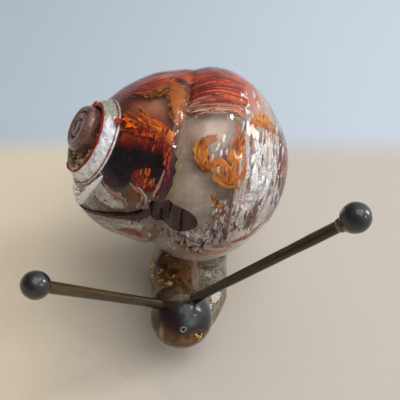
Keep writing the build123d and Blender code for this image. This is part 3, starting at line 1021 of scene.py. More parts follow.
ORANGE_LINES = (
    ((0.7, 46, 0.9), (0.628, 42, 1.3), (0.524, 38, 1.3), (0.42, 36, 1.0), (0.32, 38, 0.6)),
    ((0.6, 27, 0.9), (0.51, 28, 1.3), (0.42, 29, 1.1), (0.33, 30, 0.6)),
    ((0.58, 16, 0.6), (0.48, 19, 1.0), (0.4, 20, 1.0), (0.3, 21, 0.6)),
)
RED_LINES = (
    ((0.6, 34, 0.3), (0.5, 33.5, 0.42), (0.4, 33, 0.34), (0.33, 34, 0.16)),
    ((0.585, 23, 0.26), (0.5, 24, 0.36), (0.42, 25, 0.28), (0.35, 26, 0.14)),
    ((0.56, 12, 0.24), (0.5, 13, 0.34), (0.44, 14, 0.28), (0.38, 16, 0.12)),
    ((0.545, 3, 0.2), (0.5, 5, 0.32), (0.45, 6.5, 0.26), (0.42, 7, 0.1)),
    ((0.41, 9, 0.1), (0.38, 9, 0.24), (0.35, 9, 0.22), (0.32, 9, 0.08)),
)
LOWER_RED = ((0.262, -78, 0.25), (0.22, -80, 0.6), (0.17, -82, 0.6), (0.12, -72, 0.3))
RIM_RED = ((0.062, 40, 0.12), (0.064, 18, 0.26), (0.074, -4, 0.22), (0.1, -26, 0.1))
CRESCENT = (
    (0.99, -62, 0.35), (0.986, -80, 0.75), (0.978, -98, 0.95), (0.966, -112, 0.75),
    (0.955, -124, 0.3),
)
BACK_LINES = (
    ((0.88, 78, 1.2), (0.78, 70, 2.2), (0.68, 66, 2.2), (0.6, 62, 1.1)),
    ((0.62, 68, 1.4), (0.5, 76, 2.6), (0.38, 78, 2.4), (0.26, 70, 1.2)),
    ((0.86, 108, 1.2), (0.74, 102, 2.4), (0.6, 100, 2.8), (0.44, 106, 2.8), (0.28, 98, 1.4)),
    ((0.8, 140, 1.0), (0.66, 136, 2.2), (0.52, 134, 2.4), (0.38, 132, 2.0), (0.24, 120, 1.0)),
    ((0.7, 170, 0.9), (0.56, 164, 1.8), (0.42, 162, 1.8), (0.3, 148, 0.9)),
)
BACK_WHITE = (
    ((0.9, 92, 0.5), (0.7, 84, 1.0), (0.48, 86, 1.0), (0.3, 86, 0.5)),
    ((0.72, 120, 0.5), (0.56, 114, 1.1), (0.4, 114, 1.1), (0.22, 110, 0.6)),
    ((0.2, 60, 0.6), (0.15, 110, 1.5), (0.15, 170, 1.6), (0.19, 230, 0.8)),
    ((0.64, 190, 0.6), (0.48, 196, 1.6), (0.32, 206, 1.8), (0.18, 220, 0.8)),
    ((0.84, 170, 0.6), (0.76, 196, 1.2), (0.7, 226, 1.2), (0.68, 250, 0.5)),
)
PALE_LINES = (
    ((0.98, -68, 0.08), (0.93, -68, 0.2), (0.888, -66, 0.22), (0.856, -64, 0.18), (0.82, -67, 0.06)),
    ((0.862, -50, 0.06), (0.825, -51, 0.18), (0.788, -51, 0.2), (0.75, -54, 0.16), (0.728, -60, 0.06)),
    ((0.7, -52, 0.06), (0.69, -46, 0.14), (0.68, -40, 0.14), (0.668, -32, 0.05)),
)
LOW_WHITE = (
    ((0.994, -84, 0.4), (0.96, -80, 0.9), (0.92, -78, 0.9), (0.88, -75, 0.7), (0.83, -70, 0.3)),
    ((0.94, -122, 0.5), (0.89, -110, 1.2), (0.85, -98, 0.9), (0.78, -86, 0.7), (0.7, -78, 0.3)),
)
AMBER_SPOT = ((0.845, -54), (0.815, -52), (0.775, -53), (0.76, -58), (0.785, -63), (0.83, -62))
WHITE_FIBRES = (
    ((0.29, 6, 1.0), (0.25, -24, 1.6), (0.245, -48, 1.6), (0.26, -66, 0.8)),
    ((0.19, 14, 1.0), (0.16, -20, 1.6), (0.17, -46, 1.5), (0.2, -70, 0.9)),
    ((0.62, -74, 0.8), (0.5, -75, 1.5), (0.36, -78, 1.8), (0.22, -80, 1.2)),
)
PINK_VEIL = ((0.54, -78, 0.8), (0.45, -82, 1.5), (0.35, -86, 1.6), (0.26, -90, 0.8))
LEAF_SPOTS = (
    (0.255, -48, 2.0, 16), (0.225, -36, 2.4, 18), (0.18, -28, 2.2, 16), (0.15, -18, 1.2, 10),
    (0.21, -12, 1.3, 10), (0.165, 2, 1.0, 8), (0.24, -26, 1.1, 8), (0.33, 24, 0.9, 8),
    (0.29, 30, 0.8, 7), (0.3, 14, 0.7, 6), (0.576, 9, 0.34, 12), (0.975, -116, 1.4, 12),
    (0.94, -104, 1.1, 8), (0.985, -96, 0.8, 6), (0.91, -90, 0.8, 6), (0.885, -104, 0.9, 6),
    (0.8, -84, 0.7, 5), (0.97, -79, 0.9, 10), (0.93, -77, 0.9, 12), (0.89, -75, 0.7, 9),
    (0.46, -74, 0.9, 8), (0.39, -75, 0.9, 9), (0.54, -75, 0.7, 7),
)
BACK_SPOTS = (
    (0.3, 150, 0.9, 12), (0.42, 176, 0.9, 12), (0.56, 205, 0.8, 12), (0.24, 196, 0.9, 12),
    (0.36, 228, 0.8, 12), (0.16, 250, 0.8, 10), (0.74, 214, 0.7, 10), (0.14, 90, 0.9, 10),
)
FLECK_SPOTS = (
    (0.24, 130, 1.3, 14), (0.33, 186, 1.2, 12), (0.2, 160, 1.4, 14), (0.46, 150, 1.0, 10),
    (0.64, 176, 0.9, 9), (0.28, 240, 1.2, 12), (0.18, 210, 1.3, 12), (0.292, 10, 0.8, 5),
    (0.31, 17, 0.5, 3), (0.396, -18, 0.8, 7), (0.42, -20, 0.6, 4), (0.296, -53, 0.7, 8),
    (0.352, -56, 0.6, 8), (0.388, -46, 0.4, 5), (0.135, -48, 0.7, 8), (0.104, -20, 0.7, 8),
    (0.255, -12, 0.6, 7), (0.12, 14, 0.6, 6), (0.11, -62, 0.7, 7), (0.24, -66, 0.6, 8),
    (0.33, -74, 0.6, 8), (0.42, -80, 0.7, 8), (0.52, -82, 0.8, 8), (0.61, -84, 0.8, 7),
    (0.56, -76, 0.5, 5), (0.59, -24, 0.22, 6), (0.606, 6, 0.3, 7), (0.612, -4, 0.3, 4),
    (0.64, -8, 0.35, 3), (0.13, 34, 0.6, 6), (0.2, 40, 0.5, 5), (0.7, -62, 0.4, 4),
)
BROWN_SPOTS = (
    (0.15, -40, 0.8, 7), (0.18, -58, 0.8, 9), (0.12, -30, 0.7, 6), (0.2, -74, 0.7, 8),
    (0.3, -64, 0.5, 6), (0.28, -8, 0.5, 5), (0.1, 20, 0.8, 6), (0.34, -62, 0.4, 5),
    (0.36, -46, 0.45, 7), (0.312, -52, 0.55, 9), (0.264, -60, 0.6, 9), (0.228, -53, 0.6, 8),
    (0.364, -58, 0.45, 6), (0.22, -20, 0.4, 5), (0.48, -88, 0.6, 4),
)


def burgundy_colour(share, angle):
    """Near black in the middle, deep red along the upper, right and lower edges, with painted bluish
    glints on the dark part.
    """
    place = Vector((share * 30, angle * 0.10, 1.0))
    ruffle = noise(place)
    fine = noise(place * 3.1)
    share += 0.02 * ruffle
    angle += 5 * ruffle + 3 * fine
    upper = step(-26, -17, angle)
    return layered(
        srgb(12, 5, 9),
        (srgb(126, 26, 14), upper),
        (srgb(196, 76, 26), 0.8 * step(-19, -12, angle)),
        (srgb(88, 14, 12), 0.8 * (1 - step(0.63, 0.70, share))),
        (srgb(84, 22, 12), 0.85 * step(-52, -64, angle) * step(0.82, 0.88, share)),
        (srgb(90, 20, 14), 0.8 * near(share, angle, 0.79, -44, 0.08, 9)),
        # Painted highlight: faint bluish glints scattered over the dark part.
        (srgb(70, 66, 92), 0.35 * max(fine * ruffle * 6, 0.0) * (1 - upper)),
    )


def fibre_piece(name, nodes, sets):
    """Piece of painted fibres, stains and splinters."""
    parts = []
    paint = []
    for shapes, colours in sets:
        parts += shapes
        paint += colours
    make_piece(name, merge(parts), FIBRES, nodes, paint)


def build_small_whorl():
    """Dark patch, windows, flames and veils on the small whorl."""
    body, keys = patch((0.90, -34), BURGUNDY_BODY, 0.75, 0.20, 1, 0.07)
    side = stroke(BURGUNDY_SIDE, 0.75, 0.18, 2)
    paint = [burgundy_colour(*key) for key in keys + [(0.640, -36)] * len(side[0])]
    dark = painted("burgundy_patch_glass", 0.7, 0.7, 0.18, gloss=0.06, relief=0.6)
    shape = merge([body, side])
    make_piece("burgundy_patch_glass", shape, dark, ["burgundy_patch"], paint)
    window, _ = patch((0.79, -43), WINDOW, 0.70, 0.10, 3)
    sets = [one_tone(window, srgb(150, 40, 12))]
    sets += tinted_shards(WINDOW_SPOTS, 300, (0.018, 2.0), (WINDOW_TONES,), 1, (0.25, 0.65))
    fibre_piece("orange_window_glass", ["orange_window"], sets)
    sets = tinted_shards(LOW_SPOTS, 330, (0.022, 3.0), (LOW_TONES,), 2)
    spot, _ = patch((0.80, -57.5), AMBER_SPOT, 1.00, 0.10, 4, 0.12)
    sets.append(one_tone(spot, srgb(150, 84, 30)))
    fibre_piece("amber_window_glass", ["amber_window"], sets)
    sets = [
        ribbons(FLAMES, 0.95, 3, 5, FLAME[:3] + FIRE_RED[:1], 0.62),
        wisps(FLAMES, 0.70, 46, 5, FLAME, 0.30),
    ]
    reds = (FLAME[:3], FIRE_RED, FIRE_RED)
    sets += tinted_shards(FLAME_SPOTS, 360, (0.022, 4.0), reds, 2, (0.30, 0.60))
    fibre_piece("tip_orange_glass", ["tip_orange_patch"], sets)
    sets = [wisps(CREST, 0.8, 110, 7, EMBER, 0.22), ribbons(CREST_LOW, 1.1, 4, 8, DEEP_HONEY, 0.6)]
    fibre_piece("crest_orange_glass", ["crest_orange_strip"], sets)
    sets = [ribbons(AMBER_EDGE, 0.9, 5, 9, DEEP_HONEY, 0.8)]
    fibre_piece("amber_veil_glass", ["amber_veil"], sets)
    sets = [wisps(UNDER, 0.9, 40, 10, EMBER, 0.2)]
    sets += tinted_shards(UNDER_SPOTS, 420, (0.022, 3.0), (LOW_TONES,), 2)
    fibre_piece("under_orange_glass", ["under_orange_strip"], sets)
    paddle, _ = patch((0.58, -60.5), PADDLE, 0.40, 0.22, 9, 0.03)
    make_piece("burgundy_paddle_glass", paddle, BURGUNDY, ["burgundy_paddle"])
    trail = stroke(TRAIL, 0.24, 0.18, 10, 0.15)
    make_piece("burgundy_trail_glass", trail, BURGUNDY, ["burgundy_trail"])


def ring_sets():
    """Broken ring of orange: stains, splinters over them and single flakes."""
    sets = []
    for i, (rows, count) in enumerate(((RING, 34), (RING_TOP, 16))):
        sets.append(ribbons(rows, 0.95, 4, 41 + 7 * i, HONEY, 0.85))
        for j in range(count):
            share, angle, width = spline(rows, j / (count - 1))
            spot = (share, angle, 0.45 * width + 0.15, 3)
            bits = shards((spot,), 100 * i + j, 0.018 * width, 2.1 * width, (0.60, 1.00))
            palette = HONEY if (j * 7 + i) % 5 else FLAME
            sets += [one_tone(bit, palette[(j + k * 3) % 4]) for k, bit in enumerate(bits)]
    for i, (share, angle, size) in enumerate(ORANGE_SPOTS):
        out = (on_shell(share, angle, 0) - plain_point(share, angle, 0)).normalized()
        bit = flake(on_shell(share, angle, 0.9), out, size * 1.2, 40 + i, 0.3)
        sets.append(one_tone(bit, HONEY[i % 3]))
    return sets


def build_big_whorl():
    """Bands, ring, leaf and fibres on the big whorl, and the streaks on its back."""
    sets = fibres(ORANGE_LINES, 0.9, 44, 11, EMBER, 0.15)
    fibre_piece("orange_streak_glass", ["orange_streaks"], sets)
    sets = fibres(RED_LINES[:3], 0.7, 12, 21, FIRE_RED, 0.10)
    sets += fibres(RED_LINES[3:], 0.7, 12, 24, ROSY[:2], 0.10)
    sets += [wisps(PINK_BANDS, 1.0, 40, 33, ROSY, 0.14), wisps(TOP_DARK, 0.5, 30, 34, GREYS, 0.12)]
    fibre_piece("red_streak_glass", ["red_streaks"], sets)
    fibre_piece("orange_loop_glass", ["orange_loops"], ring_sets())
    leaves = merge(shards(LEAF_SPOTS, 24))
    make_piece("silver_leaf_splinters", leaves, SILVER, ["silver_leaf"])
    sets = fibres(WHITE_FIBRES[:2], 1.0, 38, 81, SNOW, 0.18)
    sets += fibres(WHITE_FIBRES[2:], 1.0, 38, 83, SNOW[:3] + ROSY[:1], 0.18)
    sets += fibres(LOW_WHITE, 0.6, 46, 91, SNOW[:3], 0.26)
    sets += fibres(PALE_LINES, 0.4, 14, 95, ROSY, 0.09)
    sets += tinted_shards(BOTTOM_SPOTS, 440, (0.022, 3.5), (BOTTOM_TONES,), 3, (0.30, 1.10))
    fibre_piece("white_fibre_glass", (), sets)
    sets = fibres(BACK_LINES[:3], 0.9, 44, 121, EMBER, 0.13)
    sets += fibres(BACK_LINES[3:], 0.9, 44, 124, HONEY + FIRE_RED, 0.13)
    palettes = (HONEY[:3], FIRE_RED, LOW_TONES[:3])
    sets += tinted_shards(BACK_SPOTS, 390, (0.040, 9.0), palettes, 2)
    fibre_piece("back_streak_glass", (), sets)
    sets = fibres(BACK_WHITE, 0.8, 14, 131, SNOW, 0.11)
    fibre_piece("back_white_glass", (), sets)
    sets = [wisps(PINK_VEIL, 1.2, 70, 27, ROSY, 0.2)]
    fibre_piece("pink_veil_glass", ["pink_veil"], sets)
    red = [stroke(LOWER_RED, 0.8, 0.18, 28, 0.5), stroke(RIM_RED, 0.5, 0.12, 29, 0.5)]
    make_piece("lower_red_glass", merge(red), RED, ["lower_red_streak"])
    flecks = merge(shards(FLECK_SPOTS, 74, 0.018, 4.0))
    make_piece("silver_fleck_leaves", flecks, SILVER, ["silver_flecks"])
    brown = merge(shards(BROWN_SPOTS, 31, 0.020, 5.0))
    stops = (
        (0.32, 70, 34, 30), (0.46, 136, 70, 44), (0.58, 176, 120, 104), (0.72, 200, 166, 160)
    )
    make_piece("brown_shard_glass", brown, pigment("pink_brown_glass", stops, 0.9))


# Tip of the shell

TIP_CENTRE, TIP_SIDE, TIP_UP, TIP_OUT = axis_frame(1.0)
BUTTON_LIFT = 1.0
BUTTON_RADIUS = 3.2
BUTTON_HEIGHT = 3.45
BUTTON_EDGE = 1.0
BUTTON_AROUND = 144
BUTTON_RINGS = 45
SPIRAL_START = 2.35
SPIRAL_PITCH = 1.15
COLLAR_AROUND = 200
THREAD_AROUND = 10
GAP_ANGLES = (-172, -8)
COLLAR = (
    (5.98, 0.03), (5.95, 0.28), (5.8, 0.6), (5.58, 1.0), (5.34, 1.4), (5.08, 1.76), (4.84, 1.96),
    (4.62, 1.97), (4.44, 1.8), (4.34, 1.45), (4.3, 0.9), (4.3, 0.3), (4.45, 0.05), (5.2, 0.02),
)


def on_tip(radius, turn, lift, shift=BUTTON_LIFT):
    """Point over the end of the shell; shift moves it sideways with the button."""
    middle = TIP_CENTRE + TIP_UP * shift
    return middle + (TIP_SIDE * cos(turn) + TIP_UP * sin(turn)) * radius + TIP_OUT * lift


def button_height(radius, turn):
    """Domed coil: a round edge and a groove that winds to the middle."""
    edge = within(0, 1, (radius - (BUTTON_RADIUS - BUTTON_EDGE)) / BUTTON_EDGE)
    height = BUTTON_HEIGHT - BUTTON_EDGE * (1 - sqrt(max(1 - edge * edge, 0)))
    turns = (turn / TURN) % 1
    groove = 0
    for lap in range(3):
        if turns + lap <= 1.75:
            gap = abs(radius - (SPIRAL_START - SPIRAL_PITCH * (turns + lap)))
            groove = max(groove, bell(gap / 0.26))
    return height - 0.42 * groove - 0.14 * half_noise(Vector((radius, turn, 3.0)))


def build_button():
    """Coil that closes the tip, with the dark thread in its groove."""
    turns = circle(BUTTON_AROUND)
    loops = []
    for i in range(1, BUTTON_RINGS + 1):
        radius = BUTTON_RADIUS * sin(0.5 * pi * i / BUTTON_RINGS)
        loops.append([on_tip(radius, turn, button_height(radius, turn)) for turn in turns])
    for radius, lift in ((1, 1.4), (1, 0.7), (1, 0.10), (0.6, 0.06)):
        loops.append([on_tip(BUTTON_RADIUS * radius, turn, lift) for turn in turns])
    shape = skin(loops, on_tip(0, 0, BUTTON_HEIGHT - 0.2), on_tip(0, 0, 0.06))
    stops = (
        (0.30, 44, 22, 18), (0.42, 96, 58, 50), (0.54, 136, 94, 84),
        (0.64, 102, 60, 44), (0.78, 184, 150, 138),
    )
    button = pigment("tip_button_glass", stops, 0.55, rough=0.12, coat=0.5, gloss=0.4)
    make_piece("apex_button_coil", shape, button, ["apex_button"])
    thread = []
    steps = 150
    for i in range(steps + 1):
        place = i / steps
        laps = 0.08 + place * 1.6
        turn = laps * TURN
        radius = SPIRAL_START - SPIRAL_PITCH * laps
        height = button_height(radius, turn) + 0.02
        here = on_tip(radius, turn, height)
        along = (on_tip(radius - 0.01, turn + 0.05, height) - here).normalized()
        side = TIP_OUT.cross(along).normalized()
        size = 0.22 * taper(place, 6, 0.02)
        size *= 1 + 0.4 * noise(Vector((place * 12, 0, 5)))
        thread.append(oval(here, side, TIP_OUT, size, size * 0.6, THREAD_AROUND))
    shape = closed_tube(thread)
    make_piece("apex_spiral_glass", shape, BURGUNDY, ["apex_spiral_thread"])


def collar_colour(angle):
    """Bright silver below and to the right, grey green above, amber at the back."""
    bright = step(-128, -100, angle) * (1 - step(5, 40, angle))
    green = step(0, 30, angle) * (1 - step(66, 90, angle))
    flick = half_noise(Vector((angle * 0.11, 3.0, 1.0)))
    return layered(
        srgb(176, 158, 120),
        (srgb(120, 104, 84), flick),
        (srgb(236, 236, 240), bright),
        (srgb(166, 166, 146), green),
    )


def border_shape(radius, lift, first, last, size, seed):
    """Thin thread round part of the collar."""
    loops = []
    steps = 100
    for i in range(steps + 1):
        place = i / steps
        turn = radians(first + (last - first) * place)
        ray = TIP_SIDE * cos(turn) + TIP_UP * sin(turn)
        wander = 0.10 * noise(Vector((place * 9, radius, seed)))
        here = TIP_CENTRE + ray * (radius + wander) + TIP_OUT * (lift + wander * 0.4)
        thin = size * taper(place, 8, 0.02)
        thin *= 1 + 0.5 * noise(Vector((place * 15, radius, 4)))
        loops.append(oval(here, ray, TIP_OUT, thin, thin, THREAD_AROUND))
    return closed_tube(loops)


def build_collar():
    """Sloping bright collar and the red threads on it."""
    loops = []
    paint = []
    around = 3 * len(COLLAR)
    section = [spline(COLLAR, j / around, closed=True) for j in range(around)]
    for i in range(COLLAR_AROUND):
        angle = 360 * i / COLLAR_AROUND
        turn = radians(angle)
        loop = []
        for radius, lift in section:
            lift = max(lift, 0.02)
            spot = on_tip(radius, turn, lift, 0.0)
            crack = noise(spot * 1.5) + 0.6 * noise(spot * 3.7)
            dent = 0.09 * (1 + crack) * step(0.1, 0.5, lift)
            loop.append(on_tip(radius - dent, turn, max(lift - 0.6 * dent, 0.02), 0.0))
            paint.append(collar_colour(from_front(angle)))
        loops.append(loop)
    band = skin(loops)
    make_piece("groove_silver_band", band, collar_glass(), ["silver_groove_band"], paint)
    borders = [
        border_shape(4.80, 1.96, 62, -150, 0.17, 51),
        border_shape(5.92, 0.40, 64, -128, 0.07, 52),
    ]
    make_piece("groove_red_threads", merge(borders), RED, ["groove_border_threads"])


def build_tip_bits():
    """Orange blob over the button, sparkling brown gap below it, crescent below the collar."""
    spot = on_tip(4.6, radians(74), 1.9, 0.0)
    blob = lumpy_ball(spot, (0.60, 0.55, 0.35), 0.25, 2.2, 4.0, 20, 32, TIP_OUT)
    make_piece("apex_orange_blob", blob, ORANGE)
    chance = random.Random(12)
    lumps = []
    bits = []
    for i in range(44):
        turn = radians(chance.uniform(*GAP_ANGLES))
        away = chance.uniform(2.7, 4.3)
        here = on_tip(away, turn, chance.uniform(0.5, 1.2), 0.0)
        size = chance.uniform(0.35, 0.65)
        tilt = TIP_OUT + (here - TIP_CENTRE) * chance.uniform(0.0, 0.2)
        lumps.append(lumpy_ball(here, (size, size * 0.8, size * 0.7), 0.3, 2.0, i, 8, 12, tilt))
    for _ in range(60):
        turn = radians(chance.uniform(*GAP_ANGLES))
        here = on_tip(chance.uniform(2.8, 4.25), turn, chance.uniform(1.1, 1.7), 0.0)
        out = TIP_OUT + Vector([chance.uniform(-0.5, 0.5) for _ in range(3)])
        bits.append(flake(here, out.normalized(), chance.uniform(0.12, 0.34), chance.random(), 0.2))
    stops = ((0.30, 104, 82, 58), (0.48, 178, 156, 124), (0.70, 226, 212, 184))
    smoke = pigment("brown_smoke_glass", stops, 0.9, rough=0.14, coat=0.4, gloss=0.5)
    make_piece("apex_gap_lumps", merge(lumps), smoke)
    make_piece("apex_gold_sparkles", merge(bits), GOLD)
    tail = stroke(CRESCENT, -0.02, 0.12, 61, 0.25, 60)
    make_piece("groove_silver_tail", tail, SILVER)


# Body

FOOT_FRONT = -11.0
FOOT_LENGTH = 34.0
FOOT_HALF_WIDTH = 5.8
FOOT_HEIGHT = 4.4
SEAT_SIZE = (4.6, 6.0, 5.8)
NECK_WIDTH = 3.7
NECK_HEIGHT = 3.6
BODY_AROUND = 72
FOOT_ROWS = (
    (0.02, 0.4, 0.3), (0.08, 0.66, 0.52), (0.2, 0.94, 0.8), (0.36, 1.0, 1.0), (0.55, 0.95, 1.0),
    (0.72, 0.74, 0.82), (0.87, 0.46, 0.54), (0.96, 0.24, 0.28),
)
NECK_ROWS = (
    (0.0, 0.84, 0.92, 0.1, -0.06), (0.29, 1.0, 1.0, 0.02, 0.0), (0.55, 1.0, 0.92, 0.0, -0.04),
    (0.81, 0.89, 0.84, 0.16, 0.06), (1.0, 0.78, 0.72, 0.3, 0.28),
)


def build_foot():
    """Flat-soled foot with a lumpy back and a tail."""
    loops = []
    steps = 80
    for i in range(steps + 1):
        along, width, height = spline(FOOT_ROWS, i / steps)
        centre = Vector((0, FOOT_FRONT + FOOT_LENGTH * along, 0))
        wide, high = FOOT_HALF_WIDTH * width, FOOT_HEIGHT * height
        loop = []
        for spot in oval(centre, X_AXIS, Z_AXIS, wide, high, BODY_AROUND):
            x, y, z = spot.x, spot.y, max(spot.z, 0.0)
            dent = 0.08 * half_noise(Vector((x * 0.4, y * 0.4, z * 0.5)))
            loop.append(Vector((x * (1 - dent), y, z * (1 - dent * 1.4))))
        loops.append(loop)
    return skin(loops, Vector((0, -10.9, 0.3)), Vector((0, 22.9, 0.3)))


def build_seat():
    """Lump of the same glass that carries the shell."""
    centre = Vector((1.6, 4.0, 3.4))
    wide, long, high = SEAT_SIZE
    loops = []
    steps = 32
    for i in range(steps + 1):
        polar = 0.5 * pi * (i / steps) * 0.96 + 0.06
        flat = sin(polar)
        loop = []
        for unit in oval(Vector(), X_AXIS, Y_AXIS, flat, flat, BODY_AROUND):
            size = 1 - 0.10 * half_noise(unit * 2.5 + Vector((0, 0, i * 0.1)))
            spot = Vector((unit.x * wide * size, unit.y * long * size, high * cos(polar)))
            loop.append(centre + spot)
        loops.append(loop)
    return skin(loops, centre + Z_AXIS * high, centre + Z_AXIS * 0.1)


def neck_centre(along, shift, rise):
    """Middle of the neck, along from 0 at the back to 1 in the head."""
    shift *= NECK_WIDTH
    rise *= NECK_HEIGHT
    return Vector((-2.2 + shift, -12.9 + 15.5 * (1 - along), 5.2 + rise))


def build_neck():
    """Thick column from the foot to the head."""
    loops = []
    steps = 60
    for i in range(steps + 1):
        along, width, height, shift, rise = spline(NECK_ROWS, i / steps)
        centre = neck_centre(along, shift, rise)
        wide, high = NECK_WIDTH * width, NECK_HEIGHT * height
        loop = []
        for point in oval(Vector(), X_AXIS, Z_AXIS, wide, high, BODY_AROUND):
            dent = 0.07 * half_noise((centre + point) * 0.5)
            loop.append(centre + point * (1 - dent))
        loops.append(loop)
    return closed_tube(loops)


def head_colour(unit):
    """Dark glass above with a painted blue grey reflection on the right, amber brown below that is
    partly the glass's own tone and partly painted light shining through, and a painted pink glint low
    on the left; up and down run along the camera's view.
    """
    cloud = noise(unit * 1.7 + Vector((2, 5, 1)))
    fine = noise(unit * 4.5 + Vector((7, 1, 3)))
    rise = 0.67 * unit.y + 0.74 * unit.z + 0.22 * cloud + 0.10 * fine
    right = step(0.05, 0.50, unit.x + 0.25 * cloud) * step(-0.30, 0.0, rise)
    return layered(
        srgb(14, 12, 14),
        (srgb(34, 22, 18), 0.5 + cloud),
        # Painted reflection: blue grey on the right, and a lighter painted patch of reflection in it
        # on the next line.
        (srgb(40, 44, 46), 0.9 * right),
        (srgb(96, 104, 106), 0.6 * near(unit.x, rise, 0.30, 0.04, 0.20, 0.18)),
        # Amber brown below: partly the glass's own tone, partly painted light shining through,
        # brightest at the bottom edge on the next line.
        (mix(srgb(40, 23, 10), srgb(120, 78, 32), 0.5 + 0.9 * fine), 1 - step(-0.44, -0.16, rise)),
        (srgb(190, 142, 72), 0.8 * (1 - step(-0.96, -0.78, rise))),
        (srgb(60, 20, 14), 0.8 * near(unit.x, rise, -0.42, -0.12, 0.30, 0.25)),
        # Painted highlight: a narrow pink glint low on the left.
        (srgb(190, 150, 126), 0.7 * near(unit.x, rise, -0.62, -0.42, 0.07, 0.22)),
    )


NECK_SPOTS = (
    (0.4, 148, 0.75), (0.47, 140, 0.6), (0.52, 152, 0.8), (0.55, 132, 0.5), (0.6, 160, 0.7),
    (0.66, 150, 0.6), (0.7, 168, 0.65), (0.74, 156, 0.45), (0.36, 134, 0.4), (0.44, 162, 0.45),
    (0.58, 144, 0.35), (0.64, 172, 0.5), (0.78, 166, 0.35),
)
HEAD_SPOTS = (
    (0.62, -0.78, 0.03, 0.5), (0.54, -0.84, 0.1, 0.34), (0.58, -0.81, -0.08, 0.3),
    (0.5, -0.86, 0.22, 0.26), (0.66, -0.74, 0.1, 0.26), (-0.57, -0.82, 0.01, 0.26),
    (-0.56, -0.82, -0.16, 0.2),
)


def build_flecks():
    """Flakes of gold leaf on the neck and the head."""
    flecks = []
    chance = random.Random(5)
    spots = list(NECK_SPOTS)
    for _ in range(84):
        spots.append((chance.uniform(0.36, 0.88), chance.gauss(142, 18), chance.uniform(0.15, 0.5)))
    for i, (along, angle, size) in enumerate(spots):
        _, width, height, shift, rise = spline(NECK_ROWS, along)
        turn = radians(angle)
        out = Vector((cos(turn), 0, sin(turn)))
        away = Vector((NECK_WIDTH * width * out.x, 0, NECK_HEIGHT * height * out.z)) * 0.965
        point = neck_centre(along, shift, rise) + away
        flecks.append(flake(point, out, size * 1.25, 200 + i, 0.12))
    for i, (*shares, size) in enumerate(HEAD_SPOTS):
        out = Vector(shares).normalized()
        flecks.append(flake(HEAD_CENTRE + out * HEAD_RADIUS * 0.975, out, size, 300 + i, 0.12))
    make_piece("gold_leaf_flecks", merge(flecks), GOLD, ["gold_flecks"])


def build_body():
    """Foot, seat, neck, head and their flecks."""
    smoke = crackled_glass()
    make_piece("foot_body", build_foot(), smoke, ["foot"])
    make_piece("shell_seat_lump", build_seat(), smoke, ["shell_seat"])
    stops = (
        (0.30, 14, 11, 5), (0.44, 40, 27, 12), (0.53, 104, 66, 32),
        (0.59, 40, 24, 11), (0.67, 128, 96, 52), (0.80, 206, 184, 136),
    )
    amber = pigment("neck_amber_glass", stops, 0.45, (1, 0.5, 1), 0.14, 0.8, coat=0.3, gloss=0.35)
    make_piece("neck_column", build_neck(), amber, ["neck"])
    build_flecks()
    head = lumpy_ball(HEAD_CENTRE, [HEAD_RADIUS] * 3, 0.05, 1.6, 3.0, 80, 128)
    paint = [head_colour((vert - HEAD_CENTRE).normalized()) for vert in head[0]]
    head_tone_and_light = painted("head_glass_tone_and_painted_light", 0.7, 0.6, 0.14, 0.35, 0.25)
    make_piece("head_ball", head, head_tone_and_light, ["head_bead"], paint)
    out = Vector((0.09, -0.86, 0.49)).normalized()
    middle = HEAD_CENTRE + out * HEAD_RADIUS * 0.972
    across = out.orthogonal().normalized()
    loops = []
    for ray in oval(Vector(), across, out.cross(across), 1, 1, 48):
        thick = 0.06 * (1 + 0.5 * noise(ray * 2.0))
        loops.append(oval(middle + ray * 0.34, ray, out, thick, thick, 12))
    stops = ((0.32, 70, 78, 80), (0.50, 132, 142, 144), (0.68, 196, 200, 196))
    grey = pigment("grey_ring_glass", stops, 1.5, rough=0.1, gloss=0.5)
    make_piece("head_bubble_ring", skin(loops), grey)


LEFT_ROOT = HEAD_CENTRE + Vector((-0.43, 0.07, 0.55)) * HEAD_RADIUS
LEFT_DIRECTION = Vector((-0.568, -0.457, 0.684)).normalized()
LEFT_LENGTH = 23.4
RIGHT_ROOT = HEAD_CENTRE + Vector((0.19, 0.12, 0.62)) * HEAD_RADIUS
RIGHT_DIRECTION = Vector((0.681, -0.167, 0.713)).normalized()
RIGHT_LENGTH = 27.6
KNOT_BACK = 1.9
STALK_STEPS = 90
STALK_AROUND = 28
STALK_RADII = (0.58, 0.74)
STALK_FLARE = 0.25
STALK_SWAY = 0.12


def rod_shape(root, direction, length, seed):
    """Drawn glass rod, a little uneven, wider where it leaves the brow."""
    side = direction.cross(Z_AXIS).normalized()
    up = side.cross(direction)
    loops = []
    for i in range(STALK_STEPS + 1):
        place = i / STALK_STEPS
        radius = STALK_RADII[0] + (STALK_RADII[1] - STALK_RADII[0]) * place
        radius += STALK_FLARE * bell(place * length / 2.4)
        radius *= 1 + 0.05 * noise(Vector((place * 7, seed, 0)))
        bend = sin(pi * place) * STALK_SWAY
        here = root + direction * (length * place) + up * bend * noise(Vector((seed, 1, 2)))
        loops.append(oval(here, side, up, radius, radius, STALK_AROUND))
    return skin(loops, root, root + direction * length)


def rod_paint(seed):
    """Dark and tan stripes along a rod."""
    dark, tan = tones((12, 9, 4), (74, 58, 32))
    paint = []
    for i in range(STALK_STEPS + 1):
        for turn in circle(STALK_AROUND):
            height = i / STALK_STEPS * 1.6 + seed
            ring = Vector((cos(turn) * 1.5, sin(turn) * 1.5, height))
            tone = 0.5 + 0.9 * noise(ring) + 0.25 * noise(ring * 3.3)
            tone += 0.25 * cos(turn * 2 + seed)
            paint.append(mix(dark, tan, within(0.0, 1.0, tone)))
    return paint + [paint[0], paint[-1]]


